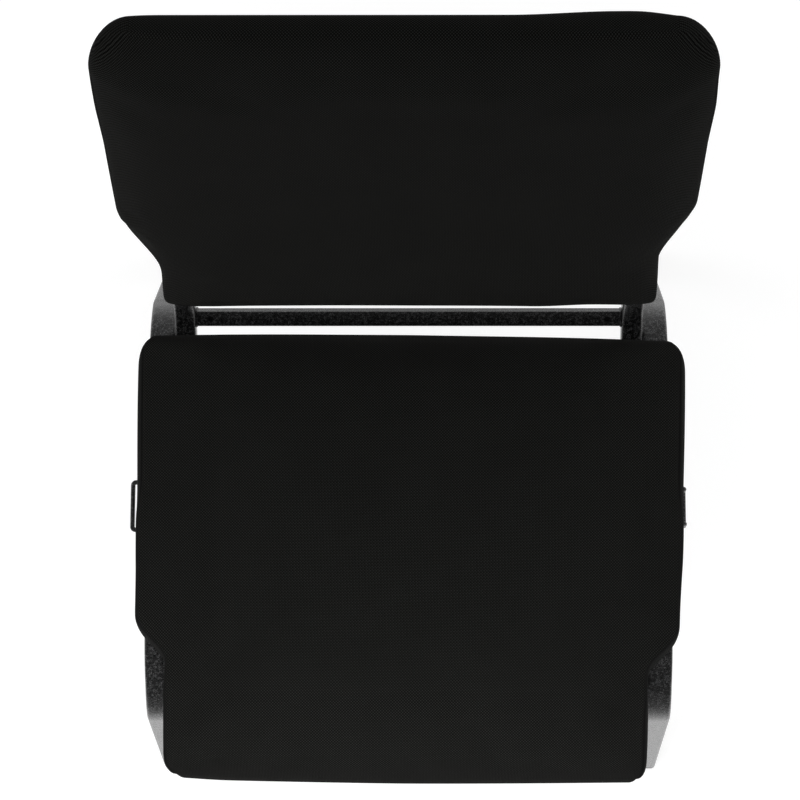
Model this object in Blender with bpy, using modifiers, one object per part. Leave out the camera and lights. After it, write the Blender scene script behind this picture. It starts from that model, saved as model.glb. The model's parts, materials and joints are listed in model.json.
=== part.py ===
"""Stacking church chair: bent square-tube side frames, two back uprights, upholstered seat and back.

Metres, +Z up. The chair faces -Y, and left and right are as seen from the front, so left is -X.
The origin is on the floor, in the middle of the chair's width and depth.
"""

import math

import bmesh
import bpy
from mathutils import Matrix, Vector

# Clearances
FIT_GAP = 0.0003            # between pieces that touch, are welded or are screwed together
HOLE_EASE = 0.0004          # round a screw or a nut, on the radius
PLUG_EASE = 0.0005          # round a plug inside its tube
FOAM_EASE = 0.0012          # between a pad's foam and its cover

# Tube stock
RAIL_TUBE = 0.022           # square tube of the side frames
UPRIGHT_TUBE = 0.018        # square tube of the back uprights and of the front crossbar
REAR_BAR_TUBE = 0.013       # square tube of the rear crossbar
TUBE_WALL = 0.0015
TUBE_CORNER = 0.003         # outside corner radius of every tube
CORNER_STEPS = 2
BEND_STEP = math.radians(12)

# Side frames
FRAME_WIDTH = 0.441         # over the outer faces of the side rails
RAIL_TOP = 0.405            # floor to the top of the side rails
FRONT_LEG_Y = -0.2108       # middle of the front legs, which stand upright seen from the side
REAR_FOOT_Y = 0.27445       # middle of the rear legs where they meet the floor
REAR_LEG_RAKE = math.radians(21.83)
FRAME_BEND = 0.060          # centre-line radius of the side frames' bends
LEG_SPLAY = 0.0107          # how far each foot stands out from under its rail

# Feet
GLIDE_CAP = 0.005           # height of the glide that shows under a leg
GLIDE_PLUG = 0.018          # length of the glide inside a leg

# Back uprights and crossbars
UPRIGHT_RUN = 0.1286        # level run that is welded along the rail, ahead of the bend
UPRIGHT_BEND = 0.055
UPRIGHT_STOP = 0.096        # from the uprights' upper ends to the top of the back
RUN_PLUG_CAP = 0.002
RUN_PLUG_LENGTH = 0.012
REAR_BAR_ALONG = math.radians(50)   # where the rear crossbar sits on the uprights' bend
REAR_BAR_TILT = math.radians(25)
VENT_HOLE = 0.005
VENT_HOLE_INSET = 0.0122    # from the end of the rear crossbar
FRONT_BAR_BEHIND = 0.0908   # front crossbar behind the front legs

# Ganging wires
WIRE = 0.004
WIRE_BEND = 0.005
GANG_Y = -0.045
GANG_REACH = 0.0155         # outer side of the wires beyond the rail's outer face
GANG_WELD = 0.016           # length of each wire end under the rail
LOOP_WIDTH = 0.045          # wide loop, over its wire
HOOK_WIDTH = 0.034          # narrow hook, which drops into the next chair's loop
HOOK_DROP = 0.013

# Seat
SEAT_OVERHANG = 0.008       # seat beyond each rail's outer face
SEAT_NOSE_LAP = 0.001       # its narrower front beyond each rail's inner face
SEAT_PAST_BEND = 0.018      # its rear edge behind the start of the uprights' bend
SEAT_NOSE = 0.0735          # its front edge ahead of the front legs
SEAT_NOTCH_BEHIND = 0.0328  # middle of the notches, behind the front legs that they clear
SEAT_NOTCH_RUN = 0.046
SEAT_EDGE = 0.064           # height of the seat's sides above the rails
SEAT_CROWN = 0.010
SEAT_LIP = 0.024            # how far the front roll hangs below the rails' top
SEAT_ROLL = 0.016           # rounding of the seat's upper edge
SEAT_UNDER_ROLL = 0.004     # rounding of its lower edge
SEAT_NOSE_ROLL = 0.052      # depth of the rounded front
SEAT_BOARD = 0.012
SEAT_BOARD_INSET = 0.021
SEAT_BOARD_CORNER = 0.012   # cut off the board's rear corners
SEAT_BOARD_LIFT = 0.0018    # slack of the cloth under the board
SEAT_NOSE_FOAM = 0.036      # foam in front of the board
COVER = 0.0012              # upholstery cloth
TURN_UNDER = 0.010          # cloth that is turned under the board
SEAT_SCREW_INSET = 0.0785   # front seat screws from the ends of the front crossbar
SEAT_SCREW_AHEAD = 0.0386   # rear seat screws ahead of the uprights' bend

# Back
BACK_Y = 0.1176             # lower end of the back's widest plane
BACK_LIFT = 0.083           # its height above the rails
BACK_RECLINE = math.radians(14.3)
BACK_HEIGHT = 0.366
BACK_OVERHANG = 0.014       # top of the back beyond each rail's outer face
BACK_FLARE = 0.007          # how much wider the back is at its top corners than just above its step
BACK_SIDE_PAD = 0.0063      # waist beyond each upright's outer face
BACK_STEP_AT = 0.0935       # middle of the step out from the waist
BACK_STEP_RUN = 0.072
BACK_FRONT = 0.020          # front of the pad, ahead of the widest plane
BACK_REAR_PAD = 0.003       # rear of the pad behind the screw heads
BACK_ROLL = 0.014           # rounding of the pad's front edge
BACK_REAR_ROLL = 0.005      # rounding of its rear edge at the waist
BACK_TOP_ROLL = 0.012       # rounding of its rear edge at the top
BACK_TOP_CORNER = 0.024
BACK_BOARD = 0.010
BACK_BOARD_FRONT = -0.0026  # front of the board, from the widest plane
BACK_BOARD_INSET = 0.016
BACK_SCREWS_BELOW = {"upper": 0.025, "lower": 0.105}    # from the uprights' upper ends

# Screws and tee nuts
SEAT_SCREW = 0.006
BACK_SCREW = 0.005
HEAD_RATIO = 2.0            # head diameter for each unit of thread diameter
HEAD_HEIGHT = 0.003
SOCKET_RATIO = 0.7
SOCKET_DEPTH = 0.0018
NUT_FLANGE = 0.018
NUT_FLANGE_HEIGHT = 0.0012
NUT_WALL = 0.001
TURNED_STEPS = 12

LEFT, RIGHT = -1, 1
Z_TO_REAR = -math.pi / 2    # turns about X that point a piece's Z to the rear or to the front
Z_TO_FRONT = math.pi / 2
SIDES = {"left": LEFT, "right": RIGHT}

# Places that follow from the sizes above
RAIL_X = FRAME_WIDTH / 2 - RAIL_TUBE / 2
RAIL_Z = RAIL_TOP - RAIL_TUBE / 2
RAIL_BOTTOM = RAIL_TOP - RAIL_TUBE
LEG_LEAN = LEG_SPLAY / RAIL_BOTTOM
REAR_KNEE_Y = REAR_FOOT_Y - RAIL_Z * math.tan(REAR_LEG_RAKE)
RAIL_INNER = FRAME_WIDTH / 2 - RAIL_TUBE
UPRIGHT_X = RAIL_INNER - FIT_GAP - UPRIGHT_TUBE / 2
UPRIGHT_INNER = UPRIGHT_X - UPRIGHT_TUBE / 2
RUN_Z = RAIL_TOP - UPRIGHT_TUBE / 2
RUN_BOTTOM = RAIL_TOP - UPRIGHT_TUBE
FRONT_BAR_Y = FRONT_LEG_Y + FRONT_BAR_BEHIND
SEAT_BASE = RAIL_TOP + FIT_GAP
SEAT_WIDTH = FRAME_WIDTH + 2 * SEAT_OVERHANG
SEAT_NOSE_WIDTH = 2 * (RAIL_INNER + SEAT_NOSE_LAP)
SEAT_FRONT_Y = FRONT_LEG_Y - SEAT_NOSE
SEAT_NOTCH_Y = FRONT_LEG_Y + SEAT_NOTCH_BEHIND
SEAT_SCREW_X = RAIL_INNER - SEAT_SCREW_INSET
SEAT_BOARD_BOTTOM = SEAT_BASE + COVER + SEAT_BOARD_LIFT
SEAT_BOARD_TOP = SEAT_BOARD_BOTTOM + SEAT_BOARD
BACK_BOARD_REAR = BACK_BOARD_FRONT + BACK_BOARD
UPRIGHT_REACH = BACK_HEIGHT - UPRIGHT_STOP
UPRIGHT_DEPTH = BACK_BOARD_REAR + FIT_GAP + UPRIGHT_TUBE / 2
BACK_HEAD_DEPTH = UPRIGHT_DEPTH + UPRIGHT_TUBE / 2 + FIT_GAP
BACK_REAR = BACK_HEAD_DEPTH + HEAD_HEIGHT + BACK_REAR_PAD
BACK_WIDTH = FRAME_WIDTH + 2 * BACK_OVERHANG
BACK_WAIST_WIDTH = 2 * (UPRIGHT_X + UPRIGHT_TUBE / 2 + BACK_SIDE_PAD)
BACK_Z = RAIL_TOP + BACK_LIFT
BACK_UP = Vector((0, math.sin(BACK_RECLINE), math.cos(BACK_RECLINE)))
BACK_OUT = Vector((0, math.cos(BACK_RECLINE), -math.sin(BACK_RECLINE)))
BACK_BASE = Vector((0, BACK_Y, BACK_Z))
KNEE_ALONG = (RUN_Z - BACK_Z + UPRIGHT_DEPTH * math.sin(BACK_RECLINE)) / math.cos(BACK_RECLINE)
UPRIGHT_KNEE = BACK_BASE + BACK_UP * KNEE_ALONG + BACK_OUT * UPRIGHT_DEPTH
UPRIGHT_TURN = math.pi / 2 - BACK_RECLINE
BEND_START_Y = UPRIGHT_KNEE.y - UPRIGHT_BEND * math.tan(UPRIGHT_TURN / 2)
UPRIGHT_RUN_FRONT = BEND_START_Y - UPRIGHT_RUN
SEAT_SCREW_Y = BEND_START_Y - SEAT_SCREW_AHEAD
SEAT_REAR_Y = BEND_START_Y + SEAT_PAST_BEND
CUT = 0.010                 # how far cutters run past what they cut


def clear_scene():
    for old in list(bpy.data.objects):
        bpy.data.objects.remove(old, do_unlink=True)


def collection(name):
    made = bpy.data.collections.new(name)
    bpy.context.scene.collection.children.link(made)
    return made


def material(name, colour, roughness, metallic=0.0):
    made = bpy.data.materials.new(name)
    made.use_nodes = True
    shader = made.node_tree.nodes["Principled BSDF"]
    shader.inputs["Base Color"].default_value = (*colour, 1.0)
    shader.inputs["Roughness"].default_value = roughness
    shader.inputs["Metallic"].default_value = metallic
    return made


clear_scene()
PARTS = collection("church_chair")
CUTTERS = collection("cutters")
POWDER_COAT = material("black_powder_coat", (0.020, 0.020, 0.021), 0.32, 0.4)
PLASTIC = material("black_plastic", (0.015, 0.015, 0.015), 0.45)
ZINC = material("zinc_plated_steel", (0.55, 0.55, 0.52), 0.35, 1.0)
PLYWOOD = material("plywood", (0.48, 0.33, 0.19), 0.7)
FOAM = material("foam", (0.72, 0.66, 0.45), 0.9)
CLOTH = material("black_woven_cloth", (0.010, 0.010, 0.010), 0.85)
CAMBRIC = material("black_cambric", (0.012, 0.012, 0.013), 0.9)


def add(name, mesh, finish, parent=None):
    """Makes a sub-part from a mesh."""
    part = bpy.data.objects.new(name, mesh)
    part.data.materials.clear()
    part.data.materials.append(finish)
    part.parent = parent
    PARTS.objects.link(part)
    return part


def add_cutter(name, mesh, parent=None):
    cutter = bpy.data.objects.new(name, mesh)
    cutter.hide_render = True
    cutter.display_type = "WIRE"
    cutter.parent = parent
    CUTTERS.objects.link(cutter)
    return cutter


def cut(part, cutter, operation="DIFFERENCE"):
    change = part.modifiers.new(cutter.name, "BOOLEAN")
    change.operation = operation
    change.solver = "EXACT"
    change.object = cutter


def mesh_of(name, build):
    """Runs a function on an empty bmesh and returns its mesh, with all faces pointing out."""
    form = bmesh.new()
    build(form)
    bmesh.ops.recalc_face_normals(form, faces=form.faces)
    mesh = bpy.data.meshes.new(name)
    form.to_mesh(mesh)
    form.free()
    return mesh


def box_mesh(name, low, high):
    def build(form):
        bmesh.ops.create_cube(form, size=1.0)
        size = [b - a for a, b in zip(low, high)]
        middle = [(a + b) / 2 for a, b in zip(low, high)]
        bmesh.ops.scale(form, vec=size, verts=form.verts)
        bmesh.ops.translate(form, vec=middle, verts=form.verts)
    return mesh_of(name, build)


def drill_mesh(name, diameter, low, high):
    """A round cutter along Z."""
    def build(form):
        bmesh.ops.create_cone(
            form, cap_ends=True, segments=TURNED_STEPS,
            radius1=diameter / 2, radius2=diameter / 2, depth=high - low,
        )
        bmesh.ops.translate(form, vec=(0, 0, (low + high) / 2), verts=form.verts)
    return mesh_of(name, build)


def poly_curve(name, points, closed=False, dimensions="3D"):
    data = bpy.data.curves.new(name, "CURVE")
    data.dimensions = dimensions
    spline = data.splines.new("POLY")
    spline.points.add(len(points) - 1)
    for target, point in zip(spline.points, points):
        target.co = (*point, 1.0)
    spline.use_cyclic_u = closed
    made = bpy.data.objects.new(name, data)
    CUTTERS.objects.link(made)
    return made


def evaluated_mesh(guide):
    """A curve's or a cage's final surface as a mesh, with any caps welded on. The guide is used up."""
    bpy.context.view_layer.update()
    graph = bpy.context.evaluated_depsgraph_get()
    mesh = bpy.data.meshes.new_from_object(guide.evaluated_get(graph))
    form = bmesh.new()
    form.from_mesh(mesh)
    bmesh.ops.remove_doubles(form, verts=form.verts, dist=0.00001)
    bmesh.ops.recalc_face_normals(form, faces=form.faces)
    form.to_mesh(mesh)
    form.free()
    bpy.data.objects.remove(guide, do_unlink=True)
    return mesh


def bent_path(corners, radius):
    """Straight runs from corner to corner, with every inner corner bent to a radius."""
    path = [corners[0]]
    for before, corner, after in zip(corners, corners[1:], corners[2:]):
        back = (before - corner).normalized()
        ahead = (after - corner).normalized()
        half = back.angle(ahead) / 2
        reach = radius / math.tan(half)
        centre = corner + (back + ahead).normalized() * (radius / math.sin(half))
        start = corner + back * reach - centre
        end = corner + ahead * reach - centre
        turn = start.angle(end)
        steps = max(3, math.ceil(turn / BEND_STEP))
        axis = start.cross(end).normalized()
        for step in range(steps + 1):
            path.append(centre + Matrix.Rotation(turn * step / steps, 3, axis) @ start)
    path.append(corners[-1])
    return path


def rounded_square(size, radius):
    inner = size / 2 - radius
    points = []
    for quarter, (x, y) in enumerate(((1, 1), (-1, 1), (-1, -1), (1, -1))):
        for step in range(CORNER_STEPS + 1):
            angle = math.radians(90 * (quarter + step / CORNER_STEPS))
            points.append((x * inner + radius * math.cos(angle), y * inner + radius * math.sin(angle), 0))
    return points


def tube_mesh(name, path, size):
    """The outer surface of a square tube along a path, open at both ends."""
    profile = poly_curve(name + "_profile", rounded_square(size, TUBE_CORNER), True, "2D")
    curve = poly_curve(name + "_path", path)
    curve.data.twist_mode = "MINIMUM"
    curve.data.bevel_mode = "OBJECT"
    curve.data.bevel_object = profile
    mesh = evaluated_mesh(curve)
    bpy.data.objects.remove(profile, do_unlink=True)
    return mesh


def hollow(part, thickness):
    """Gives an outer surface its wall, on the inside."""
    wall = part.modifiers.new("wall", "SOLIDIFY")
    wall.thickness = thickness
    wall.offset = -1
    wall.use_even_offset = True


def make_wire(name, path):
    curve = poly_curve(name + "_path", path)
    curve.data.bevel_depth = WIRE / 2
    curve.data.bevel_resolution = 2
    curve.data.use_fill_caps = True
    return add(name, evaluated_mesh(curve), POWDER_COAT)


def turned(name, profile, finish, parent=None):
    """A turned piece: (radius, height) points down its outer side, round Z."""
    data = bpy.data.meshes.new(name)
    edges = [(i, i + 1) for i in range(len(profile) - 1)]
    if profile[0][0] > 0:
        edges.append((len(profile) - 1, 0))
    data.from_pydata([(radius, 0, height) for radius, height in profile], edges, [])
    part = add(name, data, finish, parent)
    lathe = part.modifiers.new("lathe", "SCREW")
    lathe.axis = "Z"
    lathe.steps = TURNED_STEPS
    lathe.render_steps = TURNED_STEPS
    lathe.use_merge_vertices = True
    lathe.merge_threshold = 0.00001
    return part


# Side frames: front leg, rail and rear leg in one bent tube
FLOOR_CUT = add_cutter("floor_cut", box_mesh("floor_cut", (-1, -1, -0.2), (1, 1, GLIDE_CAP)))


def rear_leg_y(height):
    return REAR_KNEE_Y + (RAIL_Z - height) * math.tan(REAR_LEG_RAKE)


def make_side_frame(name, side):
    under = -0.030
    corners = [
        Vector((side * RAIL_X, FRONT_LEG_Y, under)),
        Vector((side * RAIL_X, FRONT_LEG_Y, RAIL_Z)),
        Vector((side * RAIL_X, REAR_KNEE_Y, RAIL_Z)),
        Vector((side * RAIL_X, rear_leg_y(under), under)),
    ]
    mesh = tube_mesh(name, bent_path(corners, FRAME_BEND), RAIL_TUBE)
    for vertex in mesh.vertices:
        vertex.co.x += side * LEG_LEAN * max(0.0, RAIL_BOTTOM - vertex.co.z)
    frame = add(name, mesh, POWDER_COAT)
    hollow(frame, TUBE_WALL)
    cut(frame, FLOOR_CUT)
    return frame


for word, side in SIDES.items():
    make_side_frame("side_frame_" + word, side)


def make_plug(name, size, cap, length, slope, lean, finish):
    """A plug for an open tube end: a cap as large as the tube, and a stem inside it, along Z."""
    def build(form):
        bmesh.ops.create_cube(form, size=1.0)
        bmesh.ops.scale(form, vec=(size[0], size[1], cap), verts=form.verts)
        bmesh.ops.translate(form, vec=(0, 0, cap / 2), verts=form.verts)
        upright = [e for e in form.edges if abs(e.verts[0].co.z - e.verts[1].co.z) > cap / 2]
        bmesh.ops.bevel(
            form, geom=upright, offset=TUBE_CORNER, segments=CORNER_STEPS, profile=0.5, affect="EDGES",
        )
        top = max(form.faces, key=lambda face: face.calc_center_median().z)
        bmesh.ops.inset_region(form, faces=[top], thickness=TUBE_WALL + PLUG_EASE, use_even_offset=True)
        stem = bmesh.ops.extrude_discrete_faces(form, faces=[top])["faces"][0]
        bmesh.ops.translate(form, vec=(lean * length, slope * length, length), verts=stem.verts)
    return add(name, mesh_of(name, build), finish)


# Glides: each leg's open end takes one, flat on the floor
for word, side in SIDES.items():
    foot_x = side * (RAIL_X + LEG_LEAN * (RAIL_BOTTOM - GLIDE_CAP))
    cap = GLIDE_CAP - FIT_GAP
    front = make_plug(
        "glide_front_" + word, (RAIL_TUBE, RAIL_TUBE), cap, GLIDE_PLUG, 0.0, -side * LEG_LEAN, PLASTIC,
    )
    front.location = (foot_x, FRONT_LEG_Y, 0)
    rear_size = (RAIL_TUBE, RAIL_TUBE / math.cos(REAR_LEG_RAKE))
    rear = make_plug(
        "glide_rear_" + word, rear_size, cap, GLIDE_PLUG,
        -math.tan(REAR_LEG_RAKE), -side * LEG_LEAN, PLASTIC,
    )
    rear.location = (foot_x, rear_leg_y(GLIDE_CAP), 0)


# Back uprights: a level run along the rail, then a bend up into the back
BACK_FRAME = bpy.data.objects.new("back_frame", None)
BACK_FRAME.location = BACK_BASE
BACK_FRAME.rotation_euler = (-BACK_RECLINE, 0, 0)
PARTS.objects.link(BACK_FRAME)


def make_upright(name, side):
    across = Vector((side * UPRIGHT_X, 0, 0))
    corners = [
        across + Vector((0, UPRIGHT_RUN_FRONT, RUN_Z)),
        across + UPRIGHT_KNEE,
        across + BACK_BASE + BACK_UP * UPRIGHT_REACH + BACK_OUT * UPRIGHT_DEPTH,
    ]
    mesh = tube_mesh(name, bent_path(corners, UPRIGHT_BEND), UPRIGHT_TUBE)
    upright = add(name, mesh, POWDER_COAT)
    hollow(upright, TUBE_WALL)
    return upright


def drill(part, name, diameter, low, high, location, parent=None, turn=0.0):
    """Cuts a round hole along Z, which is first turned about X."""
    drill_bit = add_cutter(name, drill_mesh(name, diameter, low, high), parent)
    drill_bit.location = location
    drill_bit.rotation_euler = (turn, 0, 0)
    cut(part, drill_bit)


for word, side in SIDES.items():
    upright = make_upright("back_upright_" + word, side)
    drill(
        upright, "run_hole_" + word, SEAT_SCREW + 2 * HOLE_EASE, RUN_BOTTOM - CUT, RAIL_TOP + CUT,
        (side * UPRIGHT_X, SEAT_SCREW_Y, 0),
    )
    for level, below in BACK_SCREWS_BELOW.items():
        drill(
            upright, f"back_hole_{level}_{word}", BACK_SCREW + 2 * HOLE_EASE,
            UPRIGHT_DEPTH - UPRIGHT_TUBE / 2 - CUT, UPRIGHT_DEPTH + UPRIGHT_TUBE / 2 + CUT,
            (side * UPRIGHT_X, 0, UPRIGHT_REACH - below), BACK_FRAME, Z_TO_REAR,
        )
    plug = make_plug(
        "upright_plug_" + word, (UPRIGHT_TUBE, UPRIGHT_TUBE), RUN_PLUG_CAP, RUN_PLUG_LENGTH,
        0.0, 0.0, PLASTIC,
    )
    plug.rotation_euler = (Z_TO_REAR, 0, 0)
    plug.location = (side * UPRIGHT_X, UPRIGHT_RUN_FRONT - FIT_GAP - RUN_PLUG_CAP, RUN_Z)


# Crossbars
def make_crossbar(name, half_length, size):
    path = [Vector((-half_length, 0, 0)), Vector((half_length, 0, 0))]
    bar = add(name, tube_mesh(name, path, size), POWDER_COAT)
    hollow(bar, TUBE_WALL)
    return bar


REAR_BAR_HALF = UPRIGHT_INNER - FIT_GAP
REAR_BAR = make_crossbar("rear_crossbar", REAR_BAR_HALF, REAR_BAR_TUBE)
REAR_BAR.location = (
    0,
    BEND_START_Y + UPRIGHT_BEND * math.sin(REAR_BAR_ALONG),
    RUN_Z + UPRIGHT_BEND * (1 - math.cos(REAR_BAR_ALONG)),
)
REAR_BAR.rotation_euler = (REAR_BAR_TILT, 0, 0)
for word, side in SIDES.items():
    drill(
        REAR_BAR, "vent_" + word, VENT_HOLE, 0, REAR_BAR_TUBE / 2 + CUT,
        (side * (REAR_BAR_HALF - VENT_HOLE_INSET), 0, 0), REAR_BAR,
    )

FRONT_BAR = make_crossbar("front_crossbar", RAIL_INNER - FIT_GAP, UPRIGHT_TUBE)
FRONT_BAR.location = (0, FRONT_BAR_Y, RUN_Z)
for word, side in SIDES.items():
    drill(
        FRONT_BAR, "front_bar_hole_" + word, SEAT_SCREW + 2 * HOLE_EASE,
        -UPRIGHT_TUBE / 2 - CUT, UPRIGHT_TUBE / 2 + CUT, (side * SEAT_SCREW_X, 0, 0), FRONT_BAR,
    )


# Ganging wires: a wide loop on the left, and a narrow hook on the right that fits inside the next one's
def gang_path(side, width, drop):
    inner = side * (FRAME_WIDTH / 2 - GANG_WELD)
    outer = side * (FRAME_WIDTH / 2 + GANG_REACH - WIRE / 2)
    height = RAIL_BOTTOM - FIT_GAP - WIRE / 2
    rear = GANG_Y + (width - WIRE) / 2
    front = GANG_Y - (width - WIRE) / 2
    corners = [Vector((inner, rear, height)), Vector((outer, rear, height))]
    if drop:
        corners += [Vector((outer, rear, height - drop)), Vector((outer, front, height - drop))]
    corners += [Vector((outer, front, height)), Vector((inner, front, height))]
    return bent_path(corners, WIRE_BEND)


make_wire("ganging_loop_left", gang_path(LEFT, LOOP_WIDTH, 0))
make_wire("ganging_hook_right", gang_path(RIGHT, HOOK_WIDTH, HOOK_DROP))


# Pads: a cage of rings, smoothed and set to its stated width and length
def smooth_step(value):
    value = min(1.0, max(0.0, value))
    return value * value * (3 - 2 * value)


def loft(name, rings):
    """A closed cage from rings of equal length, smoothed once."""
    def build(form):
        loops = [[form.verts.new(point) for point in ring] for ring in rings]
        count = len(rings[0])
        for one, other in zip(loops, loops[1:]):
            for i in range(count):
                j = (i + 1) % count
                form.faces.new((one[i], one[j], other[j], other[i]))
        form.faces.new(loops[0][::-1])
        form.faces.new(loops[-1])
    cage = bpy.data.objects.new(name + "_cage", mesh_of(name, build))
    CUTTERS.objects.link(cage)
    smooth = cage.modifiers.new("smooth", "SUBSURF")
    smooth.levels = 1
    smooth.render_levels = 1
    return evaluated_mesh(cage)


def stretch(mesh, axis, low, high):
    """Sets a smoothed mesh to its stated extent along one axis."""
    values = [vertex.co[axis] for vertex in mesh.vertices]
    old_low = min(values)
    scale = (high - low) / (max(values) - old_low)
    for vertex in mesh.vertices:
        vertex.co[axis] = low + (vertex.co[axis] - old_low) * scale


def mirrored_ring(half):
    """A closed ring from the points of its right half, bottom to top, as (across, height)."""
    return half + [(-across, height) for across, height in reversed(half)]


def outline_mesh(name, points, low, high):
    """A flat plate between two heights, from its outline."""
    curve = poly_curve(name, points, True, "2D")
    curve.data.fill_mode = "BOTH"
    curve.data.extrude = (high - low) / 2
    mesh = evaluated_mesh(curve)
    for vertex in mesh.vertices:
        vertex.co.z += (low + high) / 2
    return mesh


def seat_half_width(y, inset=0.0):
    blend = smooth_step((y - inset - SEAT_NOTCH_Y) / SEAT_NOTCH_RUN + 0.5)
    return (SEAT_NOSE_WIDTH + (SEAT_WIDTH - SEAT_NOSE_WIDTH) * blend) / 2 - inset


def seat_ring(y, draw_in, top, bottom):
    """One section across the seat; draw_in narrows it, and top and bottom are its heights at the sides."""
    half = seat_half_width(y) - draw_in
    rise = SEAT_CROWN * (1 - draw_in / SEAT_ROLL)
    right = [
        (half * 0.5, bottom),
        (half - SEAT_UNDER_ROLL, bottom),
        (half, bottom + SEAT_UNDER_ROLL),
        (half, top - SEAT_ROLL),
        (half - SEAT_ROLL * 0.7, top),
        (half * 0.5, top + rise),
    ]
    return [Vector((across, y, height)) for across, height in mirrored_ring(right)]


def seat_form():
    top = SEAT_BASE + SEAT_EDGE
    low = RAIL_TOP - SEAT_LIP
    notch_rear = SEAT_NOTCH_Y + SEAT_NOTCH_RUN * 0.5
    notch_front = SEAT_NOTCH_Y - SEAT_NOTCH_RUN * 0.5
    rings = [
        seat_ring(SEAT_REAR_Y, SEAT_ROLL * 0.5, top - SEAT_ROLL, SEAT_BASE + SEAT_ROLL * 0.6),
        seat_ring(SEAT_REAR_Y - SEAT_ROLL * 0.4, 0, top - SEAT_ROLL * 0.2, SEAT_BASE + SEAT_ROLL * 0.15),
        seat_ring(SEAT_REAR_Y - SEAT_ROLL * 1.4, 0, top, SEAT_BASE),
        seat_ring((SEAT_REAR_Y + notch_rear) / 2, 0, top, SEAT_BASE),
        seat_ring(notch_rear, 0, top, SEAT_BASE),
        seat_ring(SEAT_NOTCH_Y, 0, top, SEAT_BASE),
        seat_ring(notch_front, 0, top, SEAT_BASE),
        seat_ring(SEAT_FRONT_Y + SEAT_NOSE_ROLL, 0, top - SEAT_NOSE_ROLL * 0.06, low),
        seat_ring(SEAT_FRONT_Y + SEAT_NOSE_ROLL * 0.4, 0, top - SEAT_NOSE_ROLL * 0.32, low),
        seat_ring(SEAT_FRONT_Y + SEAT_NOSE_ROLL * 0.14, SEAT_ROLL * 0.2, top - SEAT_NOSE_ROLL * 0.65, low),
        seat_ring(SEAT_FRONT_Y, SEAT_ROLL * 1.2, top - SEAT_NOSE_ROLL * 0.85, low + SEAT_NOSE_ROLL * 0.2),
    ]
    mesh = loft("seat", rings)
    stretch(mesh, 0, -SEAT_WIDTH / 2, SEAT_WIDTH / 2)
    stretch(mesh, 1, SEAT_FRONT_Y, SEAT_REAR_Y)
    return mesh


def seat_outline(inset, front):
    """The seat's plan, drawn in by an inset, with its front edge at a given place."""
    rear = SEAT_REAR_Y - inset
    stops = [rear - SEAT_BOARD_CORNER]
    for step in range(7):
        stops.append(SEAT_NOTCH_Y + inset + SEAT_NOTCH_RUN * (0.5 - step / 6))
    stops.append(front)
    right = [(seat_half_width(rear, inset) - SEAT_BOARD_CORNER, rear, 0)]
    right += [(seat_half_width(y, inset), y, 0) for y in stops if y >= front]
    return right + [(-x, y, z) for x, y, z in reversed(right)]


def hug(part, thickness):
    """Shrinks a closed form along its normals."""
    shrink = part.modifiers.new("inside_cover", "DISPLACE")
    shrink.direction = "NORMAL"
    shrink.mid_level = 0
    shrink.strength = -thickness


SEAT_FORM = seat_form()
SEAT_COVER = add("seat_cover", SEAT_FORM, CLOTH)
hollow(SEAT_COVER, COVER)
SEAT_FOAM = add("seat_foam", SEAT_FORM.copy(), FOAM)
hug(SEAT_FOAM, COVER + FOAM_EASE)

BOARD_FRONT_Y = SEAT_FRONT_Y + SEAT_NOSE_FOAM
UNDER_FRONT_Y = SEAT_NOTCH_Y + SEAT_BOARD_INSET
UNDER_INSET = SEAT_BOARD_INSET + TURN_UNDER
SEAT_PLATE = add(
    "seat_board",
    outline_mesh(
        "seat_board", seat_outline(SEAT_BOARD_INSET, BOARD_FRONT_Y), SEAT_BOARD_BOTTOM, SEAT_BOARD_TOP,
    ),
    PLYWOOD,
)
BOARD_POCKET = add_cutter(
    "board_pocket",
    outline_mesh(
        "board_pocket",
        seat_outline(SEAT_BOARD_INSET - FIT_GAP, BOARD_FRONT_Y - FIT_GAP),
        SEAT_BASE, SEAT_BOARD_TOP + FIT_GAP,
    ),
)
cut(SEAT_FOAM, BOARD_POCKET)
UNDER_OPENING = add_cutter(
    "under_opening",
    outline_mesh(
        "under_opening", seat_outline(UNDER_INSET, UNDER_FRONT_Y), SEAT_BASE - CUT, SEAT_BOARD_BOTTOM,
    ),
)
cut(SEAT_COVER, UNDER_OPENING)
DUST_COVER = add(
    "seat_dust_cover",
    outline_mesh(
        "seat_dust_cover",
        seat_outline(UNDER_INSET + FIT_GAP, UNDER_FRONT_Y + FIT_GAP),
        SEAT_BASE, SEAT_BASE + COVER,
    ),
    CAMBRIC,
)


# Screws and tee nuts
def screw_profile(diameter, length):
    """Head below, thread up: (radius, height) from the thread's tip down, with the head's top at 0."""
    head = diameter * HEAD_RATIO / 2
    thread = diameter / 2
    return [
        (0, length), (thread, length), (thread, 0), (head, 0), (head, -HEAD_HEIGHT), (0, -HEAD_HEIGHT),
    ]


def nut_profile(diameter, length):
    """Flange on top: (radius, height) down the outer side and up the bore, with the flange's top at 0."""
    bore = diameter / 2 + FIT_GAP
    barrel = bore + NUT_WALL
    flange = NUT_FLANGE / 2
    return [
        (flange, 0), (flange, -NUT_FLANGE_HEIGHT), (barrel, -NUT_FLANGE_HEIGHT), (barrel, -length),
        (bore, -length), (bore, 0),
    ]


def make_screw(name, diameter, length, parent=None):
    screw = turned(name, screw_profile(diameter, length), ZINC, parent)
    drill(
        screw, name + "_socket", diameter * SOCKET_RATIO,
        -HEAD_HEIGHT - CUT, SOCKET_DEPTH - HEAD_HEIGHT, (0, 0, 0), screw,
    )
    return screw


def make_nut(name, diameter, length, parent=None):
    return turned(name, nut_profile(diameter, length), ZINC, parent)


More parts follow.
